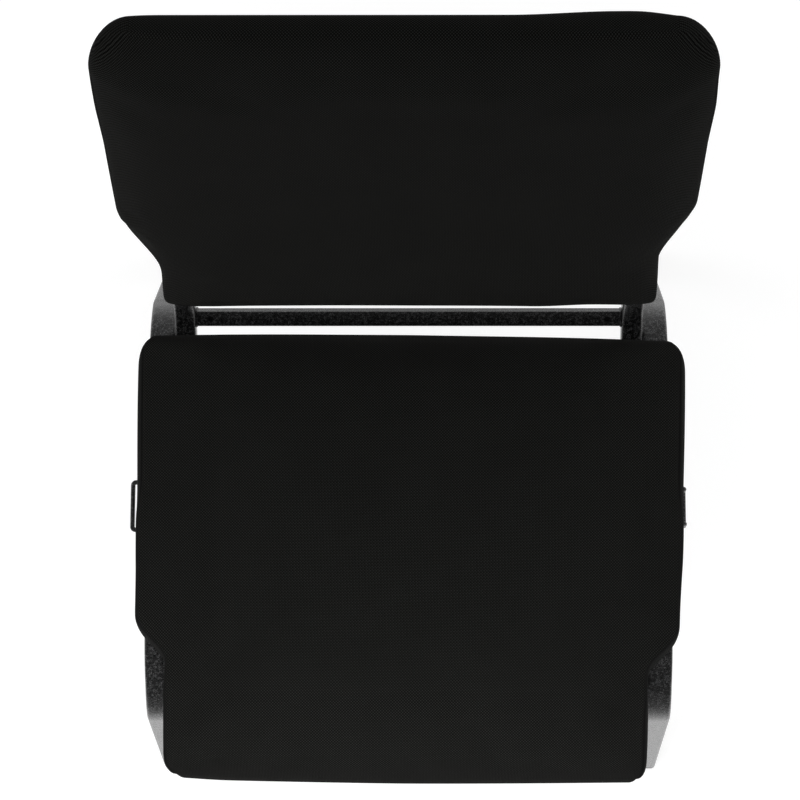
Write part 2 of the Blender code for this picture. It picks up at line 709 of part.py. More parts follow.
def nut_seat(board, name, diameter, thickness, location, parent=None, turn=0.0):
    """The hole for a nut's barrel and the counterbore for its flange, in the side that Z points to."""
    barrel = diameter + 2 * (FIT_GAP + NUT_WALL + HOLE_EASE)
    flange = NUT_FLANGE + 2 * HOLE_EASE
    sink = NUT_FLANGE_HEIGHT + 2 * FIT_GAP
    drill(board, name + "_hole", barrel, -thickness - CUT, CUT, location, parent, turn)
    drill(board, name + "_sink", flange, -sink, CUT, location, parent, turn)


SEAT_FIXINGS = {
    "front_left": (LEFT * SEAT_SCREW_X, FRONT_BAR_Y),
    "front_right": (RIGHT * SEAT_SCREW_X, FRONT_BAR_Y),
    "rear_left": (LEFT * UPRIGHT_X, SEAT_SCREW_Y),
    "rear_right": (RIGHT * UPRIGHT_X, SEAT_SCREW_Y),
}
SEAT_HEAD_Z = RUN_BOTTOM - FIT_GAP
SEAT_NUT_TOP = SEAT_BOARD_TOP - FIT_GAP
for word, (x, y) in SEAT_FIXINGS.items():
    screw = make_screw("seat_screw_" + word, SEAT_SCREW, SEAT_NUT_TOP - FIT_GAP - SEAT_HEAD_Z)
    screw.location = (x, y, SEAT_HEAD_Z)
    nut = make_nut("seat_nut_" + word, SEAT_SCREW, SEAT_BOARD - 2 * FIT_GAP)
    nut.location = (x, y, SEAT_NUT_TOP)
    nut_seat(SEAT_PLATE, "seat_nut_seat_" + word, SEAT_SCREW, SEAT_BOARD, (x, y, SEAT_BOARD_TOP))
    drill(
        DUST_COVER, "dust_cover_hole_" + word, SEAT_SCREW + 2 * HOLE_EASE,
        -CUT, CUT, (x, y, SEAT_BASE + COVER / 2),
    )


# Back pad, made in the back's own frame: x across, y behind its widest plane, z up its length
def back_half_width(along, inset=0.0):
    blend = smooth_step((along - inset - BACK_STEP_AT) / BACK_STEP_RUN + 0.5)
    wide = BACK_WIDTH - BACK_FLARE * (1 - smooth_step(along / BACK_HEIGHT))
    return (BACK_WAIST_WIDTH + (wide - BACK_WAIST_WIDTH) * blend) / 2 - inset


def back_ring(along, draw_in, front, rear):
    half = back_half_width(along) - draw_in
    roll = BACK_REAR_ROLL + (BACK_TOP_ROLL - BACK_REAR_ROLL) * smooth_step(along / BACK_HEIGHT)
    right = [
        (half * 0.5, rear),
        (half - roll, rear),
        (half, rear - roll),
        (half, BACK_ROLL - front),
        (half - BACK_ROLL * 1.2, -front * 0.85),
        (half * 0.5, -front),
    ]
    return [Vector((across, depth, along)) for across, depth in mirrored_ring(right)]


def back_form():
    step_low = BACK_STEP_AT - BACK_STEP_RUN * 0.5
    step_high = BACK_STEP_AT + BACK_STEP_RUN * 0.5
    corner_low = BACK_HEIGHT - BACK_TOP_CORNER
    front, rear = BACK_FRONT, BACK_REAR
    rings = [
        back_ring(0, BACK_REAR_ROLL * 0.5, front - BACK_ROLL * 0.15, rear - BACK_REAR_ROLL * 0.5),
        back_ring(BACK_ROLL * 0.3, 0, front, rear),
        back_ring(step_low, 0, front, rear),
        back_ring(BACK_STEP_AT, 0, front, rear),
        back_ring(step_high, 0, front, rear),
        back_ring((step_high + corner_low) / 2, 0, front, rear),
        back_ring(corner_low, 0, front, rear),
        back_ring(
            BACK_HEIGHT - BACK_TOP_CORNER * 0.3, BACK_TOP_CORNER * 0.2, front - BACK_ROLL * 0.4, rear,
        ),
        back_ring(BACK_HEIGHT, BACK_TOP_CORNER * 0.9, front - BACK_ROLL, rear - BACK_ROLL * 0.2),
    ]
    mesh = loft("back", rings)
    stretch(mesh, 0, -BACK_WIDTH / 2, BACK_WIDTH / 2)
    stretch(mesh, 2, 0, BACK_HEIGHT)
    return mesh


def back_outline(inset):
    """The back's shape seen from the front, drawn in by an inset, as points in its own x and z."""
    top = BACK_HEIGHT - inset
    corner = BACK_TOP_CORNER * 0.7
    stops = [inset]
    for step in range(7):
        stops.append(BACK_STEP_AT + inset + BACK_STEP_RUN * (step / 6 - 0.5))
    stops.append(top - corner)
    right = [(back_half_width(along, inset), along, 0) for along in stops]
    right.append((back_half_width(top, inset) - corner, top, 0))
    return right + [(-x, along, z) for x, along, z in reversed(right)]


def back_plate_mesh(name, inset, front, rear):
    """A plate of the back's outline, between two depths behind its widest plane."""
    mesh = outline_mesh(name, back_outline(inset), -rear, -front)
    mesh.transform(Matrix.Rotation(math.pi / 2, 4, "X"))
    return mesh


BACK_FORM = back_form()
BACK_COVER = add("back_cover", BACK_FORM, CLOTH, BACK_FRAME)
hollow(BACK_COVER, COVER)
BACK_FRONT_FOAM = add("back_front_foam", BACK_FORM.copy(), FOAM, BACK_FRAME)
hug(BACK_FRONT_FOAM, COVER + FOAM_EASE)
BACK_REAR_FOAM = add("back_rear_foam", BACK_FORM.copy(), FOAM, BACK_FRAME)
hug(BACK_REAR_FOAM, COVER + FOAM_EASE)
BACK_PLATE = add(
    "back_board",
    back_plate_mesh("back_board", BACK_BOARD_INSET, BACK_BOARD_FRONT, BACK_BOARD_REAR),
    PLYWOOD,
    BACK_FRAME,
)
FRONT_FOAM_POCKET = add_cutter(
    "front_foam_pocket",
    back_plate_mesh(
        "front_foam_pocket", BACK_BOARD_INSET - FIT_GAP, BACK_BOARD_FRONT - FIT_GAP, BACK_REAR + CUT,
    ),
    BACK_FRAME,
)
cut(BACK_FRONT_FOAM, FRONT_FOAM_POCKET)
REAR_FOAM_BLOCK = add_cutter(
    "rear_foam_block",
    back_plate_mesh("rear_foam_block", BACK_BOARD_INSET, BACK_BOARD_REAR + FIT_GAP, BACK_REAR + CUT),
    BACK_FRAME,
)
cut(BACK_REAR_FOAM, REAR_FOAM_BLOCK, "INTERSECT")

for word, side in SIDES.items():
    half = UPRIGHT_TUBE / 2 + FIT_GAP
    channel = add_cutter(
        "channel_" + word,
        box_mesh(
            "channel_" + word,
            (side * UPRIGHT_X - half, BACK_BOARD_REAR + FIT_GAP / 2, -CUT),
            (side * UPRIGHT_X + half, BACK_REAR + CUT, UPRIGHT_REACH + FIT_GAP),
        ),
        BACK_FRAME,
    )
    cut(BACK_FRONT_FOAM, channel)
    cut(BACK_REAR_FOAM, channel)
    sleeve = add_cutter(
        "sleeve_" + word,
        box_mesh(
            "sleeve_" + word,
            (side * UPRIGHT_X - half, UPRIGHT_DEPTH - half, -CUT),
            (side * UPRIGHT_X + half, UPRIGHT_DEPTH + half, BACK_ROLL * 2),
        ),
        BACK_FRAME,
    )
    cut(BACK_COVER, sleeve)
    for level, below in BACK_SCREWS_BELOW.items():
        tail = f"{level}_{word}"
        along = UPRIGHT_REACH - below
        nut_depth = BACK_BOARD_FRONT + FIT_GAP
        reach = BACK_HEAD_DEPTH - nut_depth - FIT_GAP
        screw = make_screw("back_screw_" + tail, BACK_SCREW, reach, BACK_FRAME)
        screw.rotation_euler = (Z_TO_FRONT, 0, 0)
        screw.location = (side * UPRIGHT_X, BACK_HEAD_DEPTH, along)
        nut = make_nut("back_nut_" + tail, BACK_SCREW, BACK_BOARD - 2 * FIT_GAP, BACK_FRAME)
        nut.rotation_euler = (Z_TO_FRONT, 0, 0)
        nut.location = (side * UPRIGHT_X, nut_depth, along)
        nut_seat(
            BACK_PLATE, "back_nut_seat_" + tail, BACK_SCREW, BACK_BOARD,
            (side * UPRIGHT_X, BACK_BOARD_FRONT, along), BACK_FRAME, Z_TO_FRONT,
        )

bpy.context.view_layer.update()
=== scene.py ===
"""Dresses the stacking church chair: inflated cloth cushions, finely bent tubes, welds and finishes.

Metres, +Z up, the chair faces -Y. The sizes are those of the part's source, apart from the rear
crossbar's tilt and place, and the cushions' stuffing.
"""

import json
import math

import bmesh
import bpy
import numpy as np
from mathutils import Matrix, Vector, noise

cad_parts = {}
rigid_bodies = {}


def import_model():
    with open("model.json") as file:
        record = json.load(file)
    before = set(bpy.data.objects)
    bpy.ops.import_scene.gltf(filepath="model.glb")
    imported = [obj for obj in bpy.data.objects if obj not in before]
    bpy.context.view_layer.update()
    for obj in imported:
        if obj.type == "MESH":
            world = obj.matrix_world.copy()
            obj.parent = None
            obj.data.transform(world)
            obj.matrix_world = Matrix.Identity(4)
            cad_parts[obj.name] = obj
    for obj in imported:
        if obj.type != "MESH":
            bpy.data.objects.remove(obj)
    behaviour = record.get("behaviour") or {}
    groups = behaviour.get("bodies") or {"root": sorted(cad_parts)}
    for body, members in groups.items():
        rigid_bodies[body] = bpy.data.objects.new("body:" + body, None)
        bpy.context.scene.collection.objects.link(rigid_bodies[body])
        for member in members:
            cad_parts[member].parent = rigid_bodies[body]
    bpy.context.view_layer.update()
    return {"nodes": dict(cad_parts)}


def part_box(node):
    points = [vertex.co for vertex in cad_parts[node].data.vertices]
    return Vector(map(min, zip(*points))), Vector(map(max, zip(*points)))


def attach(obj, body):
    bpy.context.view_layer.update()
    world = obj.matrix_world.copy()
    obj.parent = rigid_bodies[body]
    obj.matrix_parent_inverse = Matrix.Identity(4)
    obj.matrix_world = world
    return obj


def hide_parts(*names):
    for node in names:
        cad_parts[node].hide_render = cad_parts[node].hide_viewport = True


for left_over in list(bpy.data.objects):
    bpy.data.objects.remove(left_over, do_unlink=True)
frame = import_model()
NODES = frame["nodes"]
scene = bpy.context.scene
scene.view_settings.view_transform = "Standard"
X_AXIS, Y_AXIS, Z_AXIS = Vector((1, 0, 0)), Vector((0, 1, 0)), Vector((0, 0, 1))
SHARP = math.radians(40)    # edges over this angle stay sharp

# Tubes and frame
GAP = 0.0003
RAIL_TUBE, UPRIGHT_TUBE, REAR_BAR_TUBE = 0.022, 0.018, 0.013
TUBE_CORNER, BAR_CORNER = 0.003, 0.0014
FRAME_WIDTH = 0.441
RAIL_TOP = 0.405
FRONT_LEG_Y = -0.2108
REAR_FOOT_Y = 0.27445
REAR_LEG_RAKE = math.radians(21.83)
FRAME_BEND = 0.060
LEG_SPLAY = 0.0107
GLIDE_CAP = 0.005
UPRIGHT_RUN = 0.1286
UPRIGHT_BEND = 0.055
UPRIGHT_STOP = 0.096
REAR_BAR_ALONG = math.radians(50)
REAR_BAR_TILT = math.radians(29)
REAR_BAR_BEHIND = 0.0007    # the uprights' middle line
VENT_HOLE, VENT_HOLE_INSET, VENT_HOLE_DEPTH = 0.005, 0.0122, 0.006
FRONT_BAR_BEHIND = 0.0908
WIRE, WIRE_BEND = 0.004, 0.0026
GANG_Y, GANG_REACH, GANG_WELD = -0.045, 0.0155, 0.016
LOOP_WIDTH, HOOK_WIDTH, HOOK_DROP = 0.045, 0.034, 0.013
BEND_STEP = math.radians(3)

RAIL_X = FRAME_WIDTH / 2 - RAIL_TUBE / 2
RAIL_INNER = FRAME_WIDTH / 2 - RAIL_TUBE
RAIL_Z = RAIL_TOP - RAIL_TUBE / 2
RAIL_BOTTOM = RAIL_TOP - RAIL_TUBE
LEG_LEAN = LEG_SPLAY / RAIL_BOTTOM
REAR_KNEE_Y = REAR_FOOT_Y - RAIL_Z * math.tan(REAR_LEG_RAKE)
UPRIGHT_X = RAIL_INNER - GAP - UPRIGHT_TUBE / 2
UPRIGHT_INNER = UPRIGHT_X - UPRIGHT_TUBE / 2
RUN_Z = RAIL_TOP - UPRIGHT_TUBE / 2
FRONT_BAR_Y = FRONT_LEG_Y + FRONT_BAR_BEHIND

# Back's own frame: x across, depth behind its widest plane, along its length
BACK_RECLINE = math.radians(14.3)
BACK_BASE = Vector((0, 0.1176, 0.488))
BACK_UP = Vector((0, math.sin(BACK_RECLINE), math.cos(BACK_RECLINE)))
BACK_OUT = Vector((0, math.cos(BACK_RECLINE), -math.sin(BACK_RECLINE)))
BACK_HEIGHT = 0.366
BACK_WIDTH, BACK_WAIST, BACK_FLARE = 0.469, 0.409, 0.007
BACK_STEPS_AT, BACK_STEP_RUN = (0.083, 0.095), 0.090
BACK_SHOULDER = 0.0015      # stuffing above the step, up to the top on the left only
UPRIGHT_DEPTH = 0.0167
UPRIGHT_REACH = BACK_HEIGHT - UPRIGHT_STOP
KNEE_ALONG = (RUN_Z - BACK_BASE.z + UPRIGHT_DEPTH * math.sin(BACK_RECLINE)) / math.cos(BACK_RECLINE)
UPRIGHT_KNEE = BACK_BASE + BACK_UP * KNEE_ALONG + BACK_OUT * UPRIGHT_DEPTH
BEND_START_Y = UPRIGHT_KNEE.y - UPRIGHT_BEND * math.tan((math.pi / 2 - BACK_RECLINE) / 2)
UPRIGHT_RUN_FRONT = BEND_START_Y - UPRIGHT_RUN

# Seat
SEAT_WIDTH, SEAT_NOSE_WIDTH = 0.457, 0.399
SEAT_NOTCH_Y, SEAT_NOTCH_RUN, SEAT_NOTCH_BACK = -0.178, 0.037, 0.0045
WEAVE = 0.0024              # pitch of the cloth's dots
BOND_PITCH = 0.0018         # and of the dust cloth's bond points


# Materials
tree = None                 # the node tree that the helpers below add to


def open_tree(owner):
    global tree
    owner.use_nodes = True
    tree = owner.node_tree


def put(target, **values):
    for key, value in values.items():
        setattr(target, key, value)
    return target


def feed(target, inputs):
    """Links sockets to a node's inputs, and sets plain values on them."""
    for key, value in inputs.items():
        if isinstance(value, bpy.types.NodeSocket):
            tree.links.new(value, target.inputs[key])
        else:
            target.inputs[key].default_value = value


def shader(name, inputs):
    """Opens a new Principled material."""
    made = bpy.data.materials.new(name)
    open_tree(made)
    surface = tree.nodes["Principled BSDF"]
    feed(surface, inputs)
    return made, surface


def node(kind, inputs=(), **settings):
    made = put(tree.nodes.new("ShaderNode" + kind), **settings)
    feed(made, dict(inputs))
    return made


def calc(operation, a, b=0.0):
    return node("Math", {0: a, 1: b}, operation=operation).outputs[0]


def times(a, b):
    return calc("MULTIPLY", a, b)


def spread(value, low, high, start=0.0, end=1.0):
    return node("MapRange", {
        "Value": value, "From Min": low, "From Max": high, "To Min": start, "To Max": end,
    }, interpolation_type="SMOOTHSTEP").outputs[0]


def blend(factor, a, b):
    return node("Mix", {0: factor, 6: (*a, 1), 7: (*b, 1)}, data_type="RGBA").outputs[2]


def grain(scale, detail, roughness=0.5, where=None):
    """Noise in metres; the result is about 0.3 to 0.7."""
    if where is None:
        where = node("TexCoord").outputs["Object"]
    return node("TexNoise", {
        "Vector": where, "Scale": scale, "Detail": detail, "Roughness": roughness,
    }).outputs[0]


def jitter(place, scale, detail, amount):
    """The place, moved about by a noise."""
    push = node("TexNoise", {"Vector": place, "Scale": scale, "Detail": detail}).outputs["Color"]
    push = node("VectorMath", {0: push, 1: (-0.5, -0.5, -0.5)}, operation="ADD").outputs[0]
    push = node("VectorMath", {0: push, 3: amount}, operation="SCALE").outputs[0]
    return node("VectorMath", {0: place, 1: push}, operation="ADD").outputs[0]


def relief(surface, height, distance, strength):
    bump = node("Bump", {"Height": height, "Distance": distance, "Strength": strength})
    feed(surface, {"Normal": bump.outputs[0]})


def woven_cloth():
    """Hopsack weave: warp and weft floats take turns on the face, each with its own fibres."""
    made, surface = shader("black_woven_cloth", {
        "Specular IOR Level": 0.02, "Sheen Weight": 0.006, "Sheen Roughness": 0.5,
        "Sheen Tint": (0.80, 0.80, 0.76, 1),
    })
    place = node("Attribute", attribute_name="weave").outputs["Vector"]
    place = jitter(place, 260.0, 1.0, WEAVE * 0.16)
    parts = node("SeparateXYZ", {0: place})
    turn = 2 * math.pi / WEAVE
    across = times(parts.outputs[0], turn)
    along = times(parts.outputs[1], turn)
    over = times(calc("COSINE", across), calc("COSINE", along))
    float_height = calc("POWER", calc("ABSOLUTE", over), 0.6)
    warp = spread(over, -0.12, 0.12)
    warp_fibre = calc("COSINE", times(across, 9.0))
    weft_fibre = calc("COSINE", times(along, 9.0))
    strand = node("Mix", {0: warp, 2: weft_fibre, 3: warp_fibre}, data_type="FLOAT").outputs[0]
    fuzz = grain(2600.0, 3.0, 0.6, place)
    broad = grain(26.0, 3.0, 0.55)
    seam = node("Attribute", attribute_name="seam").outputs["Fac"]
    # painted shade: the colour follows the floats' height and is darker where the weave dips between
    # them
    tone = times(float_height, spread(warp, 0.0, 1.0, 0.06, 1.0))
    tone = times(tone, spread(fuzz, 0.3, 0.7, 0.60, 1.25))
    tone = times(tone, spread(broad, 0.3, 0.7, 0.94, 1.06))
    # painted shade: the cloth's colour darkens along the seams, standing in for the shade in their sunk
    # grooves
    tone = times(tone, calc("SUBTRACT", 1.0, spread(seam, 0.25, 0.80, 0.0, 0.94)))
    feed(surface, {
        "Base Color": blend(tone, (0.0012, 0.0012, 0.0011), (0.0330, 0.0330, 0.0312)),
        "Roughness": spread(fuzz, 0.3, 0.7, 0.80, 0.96),
    })
    height = calc("ADD", float_height, times(strand, 0.08))
    height = calc("ADD", height, times(fuzz, 0.35))
    relief(surface, height, 0.00030, 0.7)
    return made


def silver_vein_coat():
    """Black hammered coat with silver flakes of uneven size in its hollows."""
    made, surface = shader("silver_vein_powder_coat", {"IOR": 1.68})
    place = node("TexCoord").outputs["Object"]
    ragged = jitter(place, 900.0, 3.0, 0.0034)
    cells = node("TexVoronoi", {"Vector": ragged, "Scale": 620.0, "Randomness": 1.0})
    chance = node("SeparateColor", {0: cells.outputs["Color"]}).outputs[0]
    hollow = spread(cells.outputs["Distance"], 0.20, 0.60, 1.0, 0.0)
    veins = grain(420.0, 4.0, 0.65, place)
    fine = grain(1500.0, 2.0, 0.6, place)
    flake = times(spread(chance, 0.55, 0.95), hollow)
    vein = times(spread(veins, 0.50, 0.62), spread(fine, 0.42, 0.60))
    silver = calc("MAXIMUM", flake, times(vein, 0.7))
    feed(surface, {
        "Base Color": blend(silver, (0.0050, 0.0050, 0.0051), (0.200, 0.201, 0.204)),
        "Metallic": times(silver, 0.8),
        "Roughness": spread(fine, 0.3, 0.7, 0.22, 0.36),
    })
    height = calc("SUBTRACT", veins, times(hollow, 0.35))
    relief(surface, height, 0.00030, 0.55)
    return made


def moulded_plastic():
    made, surface = shader("moulded_black_plastic", {"IOR": 1.46})
    fine = grain(1500.0, 3.0, 0.6)
    scuff = grain(140.0, 4.0, 0.7)
    feed(surface, {
        "Base Color": blend(spread(scuff, 0.5, 0.7), (0.012, 0.012, 0.0125), (0.028, 0.028, 0.028)),
        "Roughness": spread(scuff, 0.35, 0.7, 0.42, 0.62),
    })
    relief(surface, fine, 0.00012, 0.6)
    return made


def zinc_plate():
    made, surface = shader("zinc_plate", {"Metallic": 1.0})
    spangle = grain(520.0, 3.0, 0.6)
    film = grain(90.0, 2.0, 0.5)
    feed(surface, {
        "Base Color": blend(spread(film, 0.35, 0.65), (0.52, 0.52, 0.50), (0.60, 0.58, 0.52)),
        "Roughness": spread(spangle, 0.3, 0.7, 0.26, 0.46),
    })
    relief(surface, spangle, 0.00006, 0.5)
    return made


def dust_cloth():
    """Thin non-woven cloth with pressed bond points."""
    made, surface = shader("black_dust_cloth", {"Specular IOR Level": 0.15})
    place = node("TexCoord").outputs["Object"]
    parts = node("SeparateXYZ", {0: place})
    turn = 2 * math.pi / BOND_PITCH
    across = calc("COSINE", times(parts.outputs[0], turn))
    along = calc("COSINE", times(parts.outputs[1], turn))
    bond = spread(calc("ADD", across, along), 0.9, 1.5)
    fibre = grain(1700.0, 4.0, 0.65, place)
    tone = times(fibre, calc("SUBTRACT", 1.0, times(bond, 0.5)))
    feed(surface, {
        "Base Color": blend(tone, (0.006, 0.006, 0.0065), (0.024, 0.024, 0.025)),
        "Roughness": spread(bond, 0.0, 1.0, 0.92, 0.6),
    })
    relief(surface, calc("SUBTRACT", fibre, bond), 0.0002, 0.6)
    return made


def plywood_board():
    made, surface = shader("plywood_board", {"Roughness": 0.7})
    place = node("TexCoord").outputs["Object"]
    stretched = node("VectorMath", {0: place, 1: (18.0, 260.0, 700.0)}, operation="MULTIPLY").outputs[0]
    rings = node("TexNoise", {"Vector": stretched, "Scale": 1.0, "Detail": 4.0}).outputs[0]
    shade = blend(spread(rings, 0.35, 0.65), (0.55, 0.38, 0.22), (0.38, 0.24, 0.12))
    feed(surface, {"Base Color": shade})
    relief(surface, rings, 0.0003, 0.4)
    return made


CLOTH = woven_cloth()
COAT = silver_vein_coat()
PLASTIC = moulded_plastic()
ZINC = zinc_plate()
CAMBRIC = dust_cloth()
PLYWOOD = plywood_board()


# Mesh helpers
def add_object(name, data):
    made = bpy.data.objects.new(name, data)
    scene.collection.objects.link(made)
    return made


def face_outward(mesh):
    form = bmesh.new()
    form.from_mesh(mesh)
    bmesh.ops.recalc_face_normals(form, faces=form.faces)
    form.to_mesh(mesh)
    form.free()


def piece(name, points, faces, finish, slot):
    mesh = bpy.data.meshes.new(name)
    mesh.from_pydata([tuple(p) for p in points], [], faces)
    face_outward(mesh)
    mesh.shade_smooth()
    mesh.set_sharp_from_angle(angle=SHARP)
    mesh.materials.append(finish)
    made = add_object(name, mesh)
    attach(made, "root")
    return made


def bent_path(corners, radius):
    """Straight runs from corner to corner, with every inner corner bent to a radius."""
    path = [corners[0]]
    for before, corner, after in zip(corners, corners[1:], corners[2:]):
        back = (before - corner).normalized()
        ahead = (after - corner).normalized()
        half = back.angle(ahead) / 2
        reach = radius / math.tan(half)
        centre = corner + (back + ahead).normalized() * (radius / math.sin(half))
        start = corner + back * reach - centre
        end = corner + ahead * reach - centre
        turn = start.angle(end)
        steps = max(8, math.ceil(turn / BEND_STEP))
        axis = start.cross(end).normalized()
        for step in range(steps + 1):
            path.append(centre + Matrix.Rotation(turn * step / steps, 3, axis) @ start)
    path.append(corners[-1])
    return path


def rounded_square(size, radius, steps=6):
    inner = size / 2 - radius
    points = []
    for quarter, (x, y) in enumerate(((1, 1), (-1, 1), (-1, -1), (1, -1))):
        for step in range(steps + 1):
            angle = math.radians(90 * (quarter + step / steps))
            points.append((x * inner + radius * math.cos(angle), y * inner + radius * math.sin(angle)))
    return points


def circle(radius, count):
    turns = [2 * math.pi * i / count for i in range(count)]
    return [(radius * math.cos(t), radius * math.sin(t)) for t in turns]


def sweep(path, profile, across, closed=False, swell=None):
    """Rings of a profile along a path, square to it. swell scales each ring."""
    rings = []
    last = len(path) - 1
    for i, point in enumerate(path):
        if closed:
            ahead = path[(i + 1) % len(path)] - path[i - 1]
        else:
            ahead = path[min(i + 1, last)] - path[max(i - 1, 0)]
        ahead.normalize()
        across = (across - ahead * across.dot(ahead)).normalized()
        up = ahead.cross(across)
        size = swell[i] if swell else 1.0
        rings.append([point + (across * a + up * b) * size for a, b in profile])
    return rings


def skin(rings, closed=False, first=0):
    count = len(rings[0])
    faces = []
    for i in range(len(rings) if closed else len(rings) - 1):
        a, b = first + i * count, first + (i + 1) % len(rings) * count
        for j in range(count):
            k = (j + 1) % count
            faces.append((a + j, a + k, b + k, b + j))
    if not closed:
        end = first + (len(rings) - 1) * count
        faces.append(tuple(range(first, first + count)))
        faces.append(tuple(range(end, end + count)))
    return [p for ring in rings for p in ring], faces


def stand_in(name, kind, rings, finish=COAT, slot="powder_coat"):
    """A swept piece in place of a node."""
    made = piece(name + kind, *skin(rings), finish, slot)
    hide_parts(name)
    return made


# Tubes and wires
def rear_leg_y(height):
    return REAR_KNEE_Y + (RAIL_Z - height) * math.tan(REAR_LEG_RAKE)


def side_frame(name, side):
    corners = [
        Vector((side * RAIL_X, FRONT_LEG_Y, GLIDE_CAP)),
        Vector((side * RAIL_X, FRONT_LEG_Y, RAIL_Z)),
        Vector((side * RAIL_X, REAR_KNEE_Y, RAIL_Z)),
        Vector((side * RAIL_X, rear_leg_y(GLIDE_CAP), GLIDE_CAP)),
    ]
    path = bent_path(corners, FRAME_BEND)
    rings = sweep(path, rounded_square(RAIL_TUBE, TUBE_CORNER), X_AXIS)
    down = (corners[3] - corners[2]).normalized()
    rings[-1] = [p + down * ((GLIDE_CAP - p.z) / down.z) for p in rings[-1]]
    for ring in rings:
        for p in ring:
            p.x += side * LEG_LEAN * max(0.0, RAIL_BOTTOM - p.z)
    stand_in(name, "_tube", rings)


def back_upright(name, side):
    across = Vector((side * UPRIGHT_X, 0, 0))
    corners = [
        across + Vector((0, UPRIGHT_RUN_FRONT, RUN_Z)),
        across + UPRIGHT_KNEE,
        across + BACK_BASE + BACK_UP * UPRIGHT_REACH + BACK_OUT * UPRIGHT_DEPTH,
    ]
    path = bent_path(corners, UPRIGHT_BEND)
    stand_in(name, "_tube", sweep(path, rounded_square(UPRIGHT_TUBE, TUBE_CORNER), X_AXIS))


def drilled(made, spots, diameter, depth):
    """Sinks round holes into a piece: spots are (place, direction) of each hole's mouth."""
    form = bmesh.new()
    for place, way in spots:
        turn = way.to_track_quat("Z", "Y").to_matrix().to_4x4()
        bmesh.ops.create_cone(
            form, cap_ends=True, segments=24, radius1=diameter / 2, radius2=diameter / 2,
            depth=2 * depth, matrix=Matrix.Translation(place) @ turn,
        )
    mesh = bpy.data.meshes.new("drill")
    form.to_mesh(mesh)
    form.free()
    mesh.materials.append(made.data.materials[0])
    cutter = add_object("drill", mesh)
    put(made.modifiers.new("holes", "BOOLEAN"), solver="EXACT", object=cutter)
    graph = bpy.context.evaluated_depsgraph_get()
    result = bpy.data.meshes.new_from_object(made.evaluated_get(graph))
    made.modifiers.clear()
    made.data = result
    result.shade_smooth()
    result.set_sharp_from_angle(angle=SHARP)
    bpy.data.objects.remove(cutter, do_unlink=True)


REAR_BAR_HALF = UPRIGHT_INNER - GAP
REAR_BAR_AT = Vector((
    0,
    BEND_START_Y + UPRIGHT_BEND * math.sin(REAR_BAR_ALONG) + REAR_BAR_BEHIND,
    RUN_Z + UPRIGHT_BEND * (1 - math.cos(REAR_BAR_ALONG)),
))
REAR_BAR_UP = Matrix.Rotation(REAR_BAR_TILT, 3, "X") @ Z_AXIS
REAR_BAR_ACROSS = Matrix.Rotation(REAR_BAR_TILT, 3, "X") @ Y_AXIS
FRONT_BAR_AT = Vector((0, FRONT_BAR_Y, RUN_Z))
FRONT_BAR_HALF = RAIL_INNER - GAP


def crossbar(name, at, half, size, corner, across):
    path = [at + Vector((x, 0, 0)) for x in (-half, half)]
    return stand_in(name, "_tube", sweep(path, rounded_square(size, corner), across))


def ganging_wire(name, side, width, drop):
    inner = side * (FRAME_WIDTH / 2 - GANG_WELD)
    outer = side * (FRAME_WIDTH / 2 + GANG_REACH - WIRE / 2)
    height = RAIL_BOTTOM - GAP - WIRE / 2
    rear = GANG_Y + (width - WIRE) / 2
    front = GANG_Y - (width - WIRE) / 2
    corners = [Vector((inner, rear, height)), Vector((outer, rear, height))]
    if drop:
        corners += [Vector((outer, rear, height - drop)), Vector((outer, front, height - drop))]
    corners += [Vector((outer, front, height)), Vector((inner, front, height))]
    stand_in(name, "_wire", sweep(bent_path(corners, WIRE_BEND), circle(WIRE / 2, 20), Z_AXIS))


BEAD_STEP = 0.0007          # from ring to ring along a weld bead
BEAD_INSET = 0.0003         # the crossbars' beads, from the bars' ends
REAR_BAR_BEAD, FRONT_BAR_BEAD, RUN_BEAD, WIRE_BEAD = 0.0009, 0.0019, 0.0024, 0.0013
RUN_BEAD_RINGS, WIRE_BEAD_RINGS = 40, 16
RUN_BEADS_AT = (UPRIGHT_RUN_FRONT + 0.006, -0.010, BEND_START_Y - 0.030)
RUN_BEAD_Z = RAIL_TOP - UPRIGHT_TUBE + 0.0002
WIRE_BEAD_X, WIRE_BEAD_Z = RAIL_INNER + 0.007, RAIL_BOTTOM - 0.0011
RIPPLE, RIPPLE_RINGS, UNEVEN = 0.13, 4, 0.25


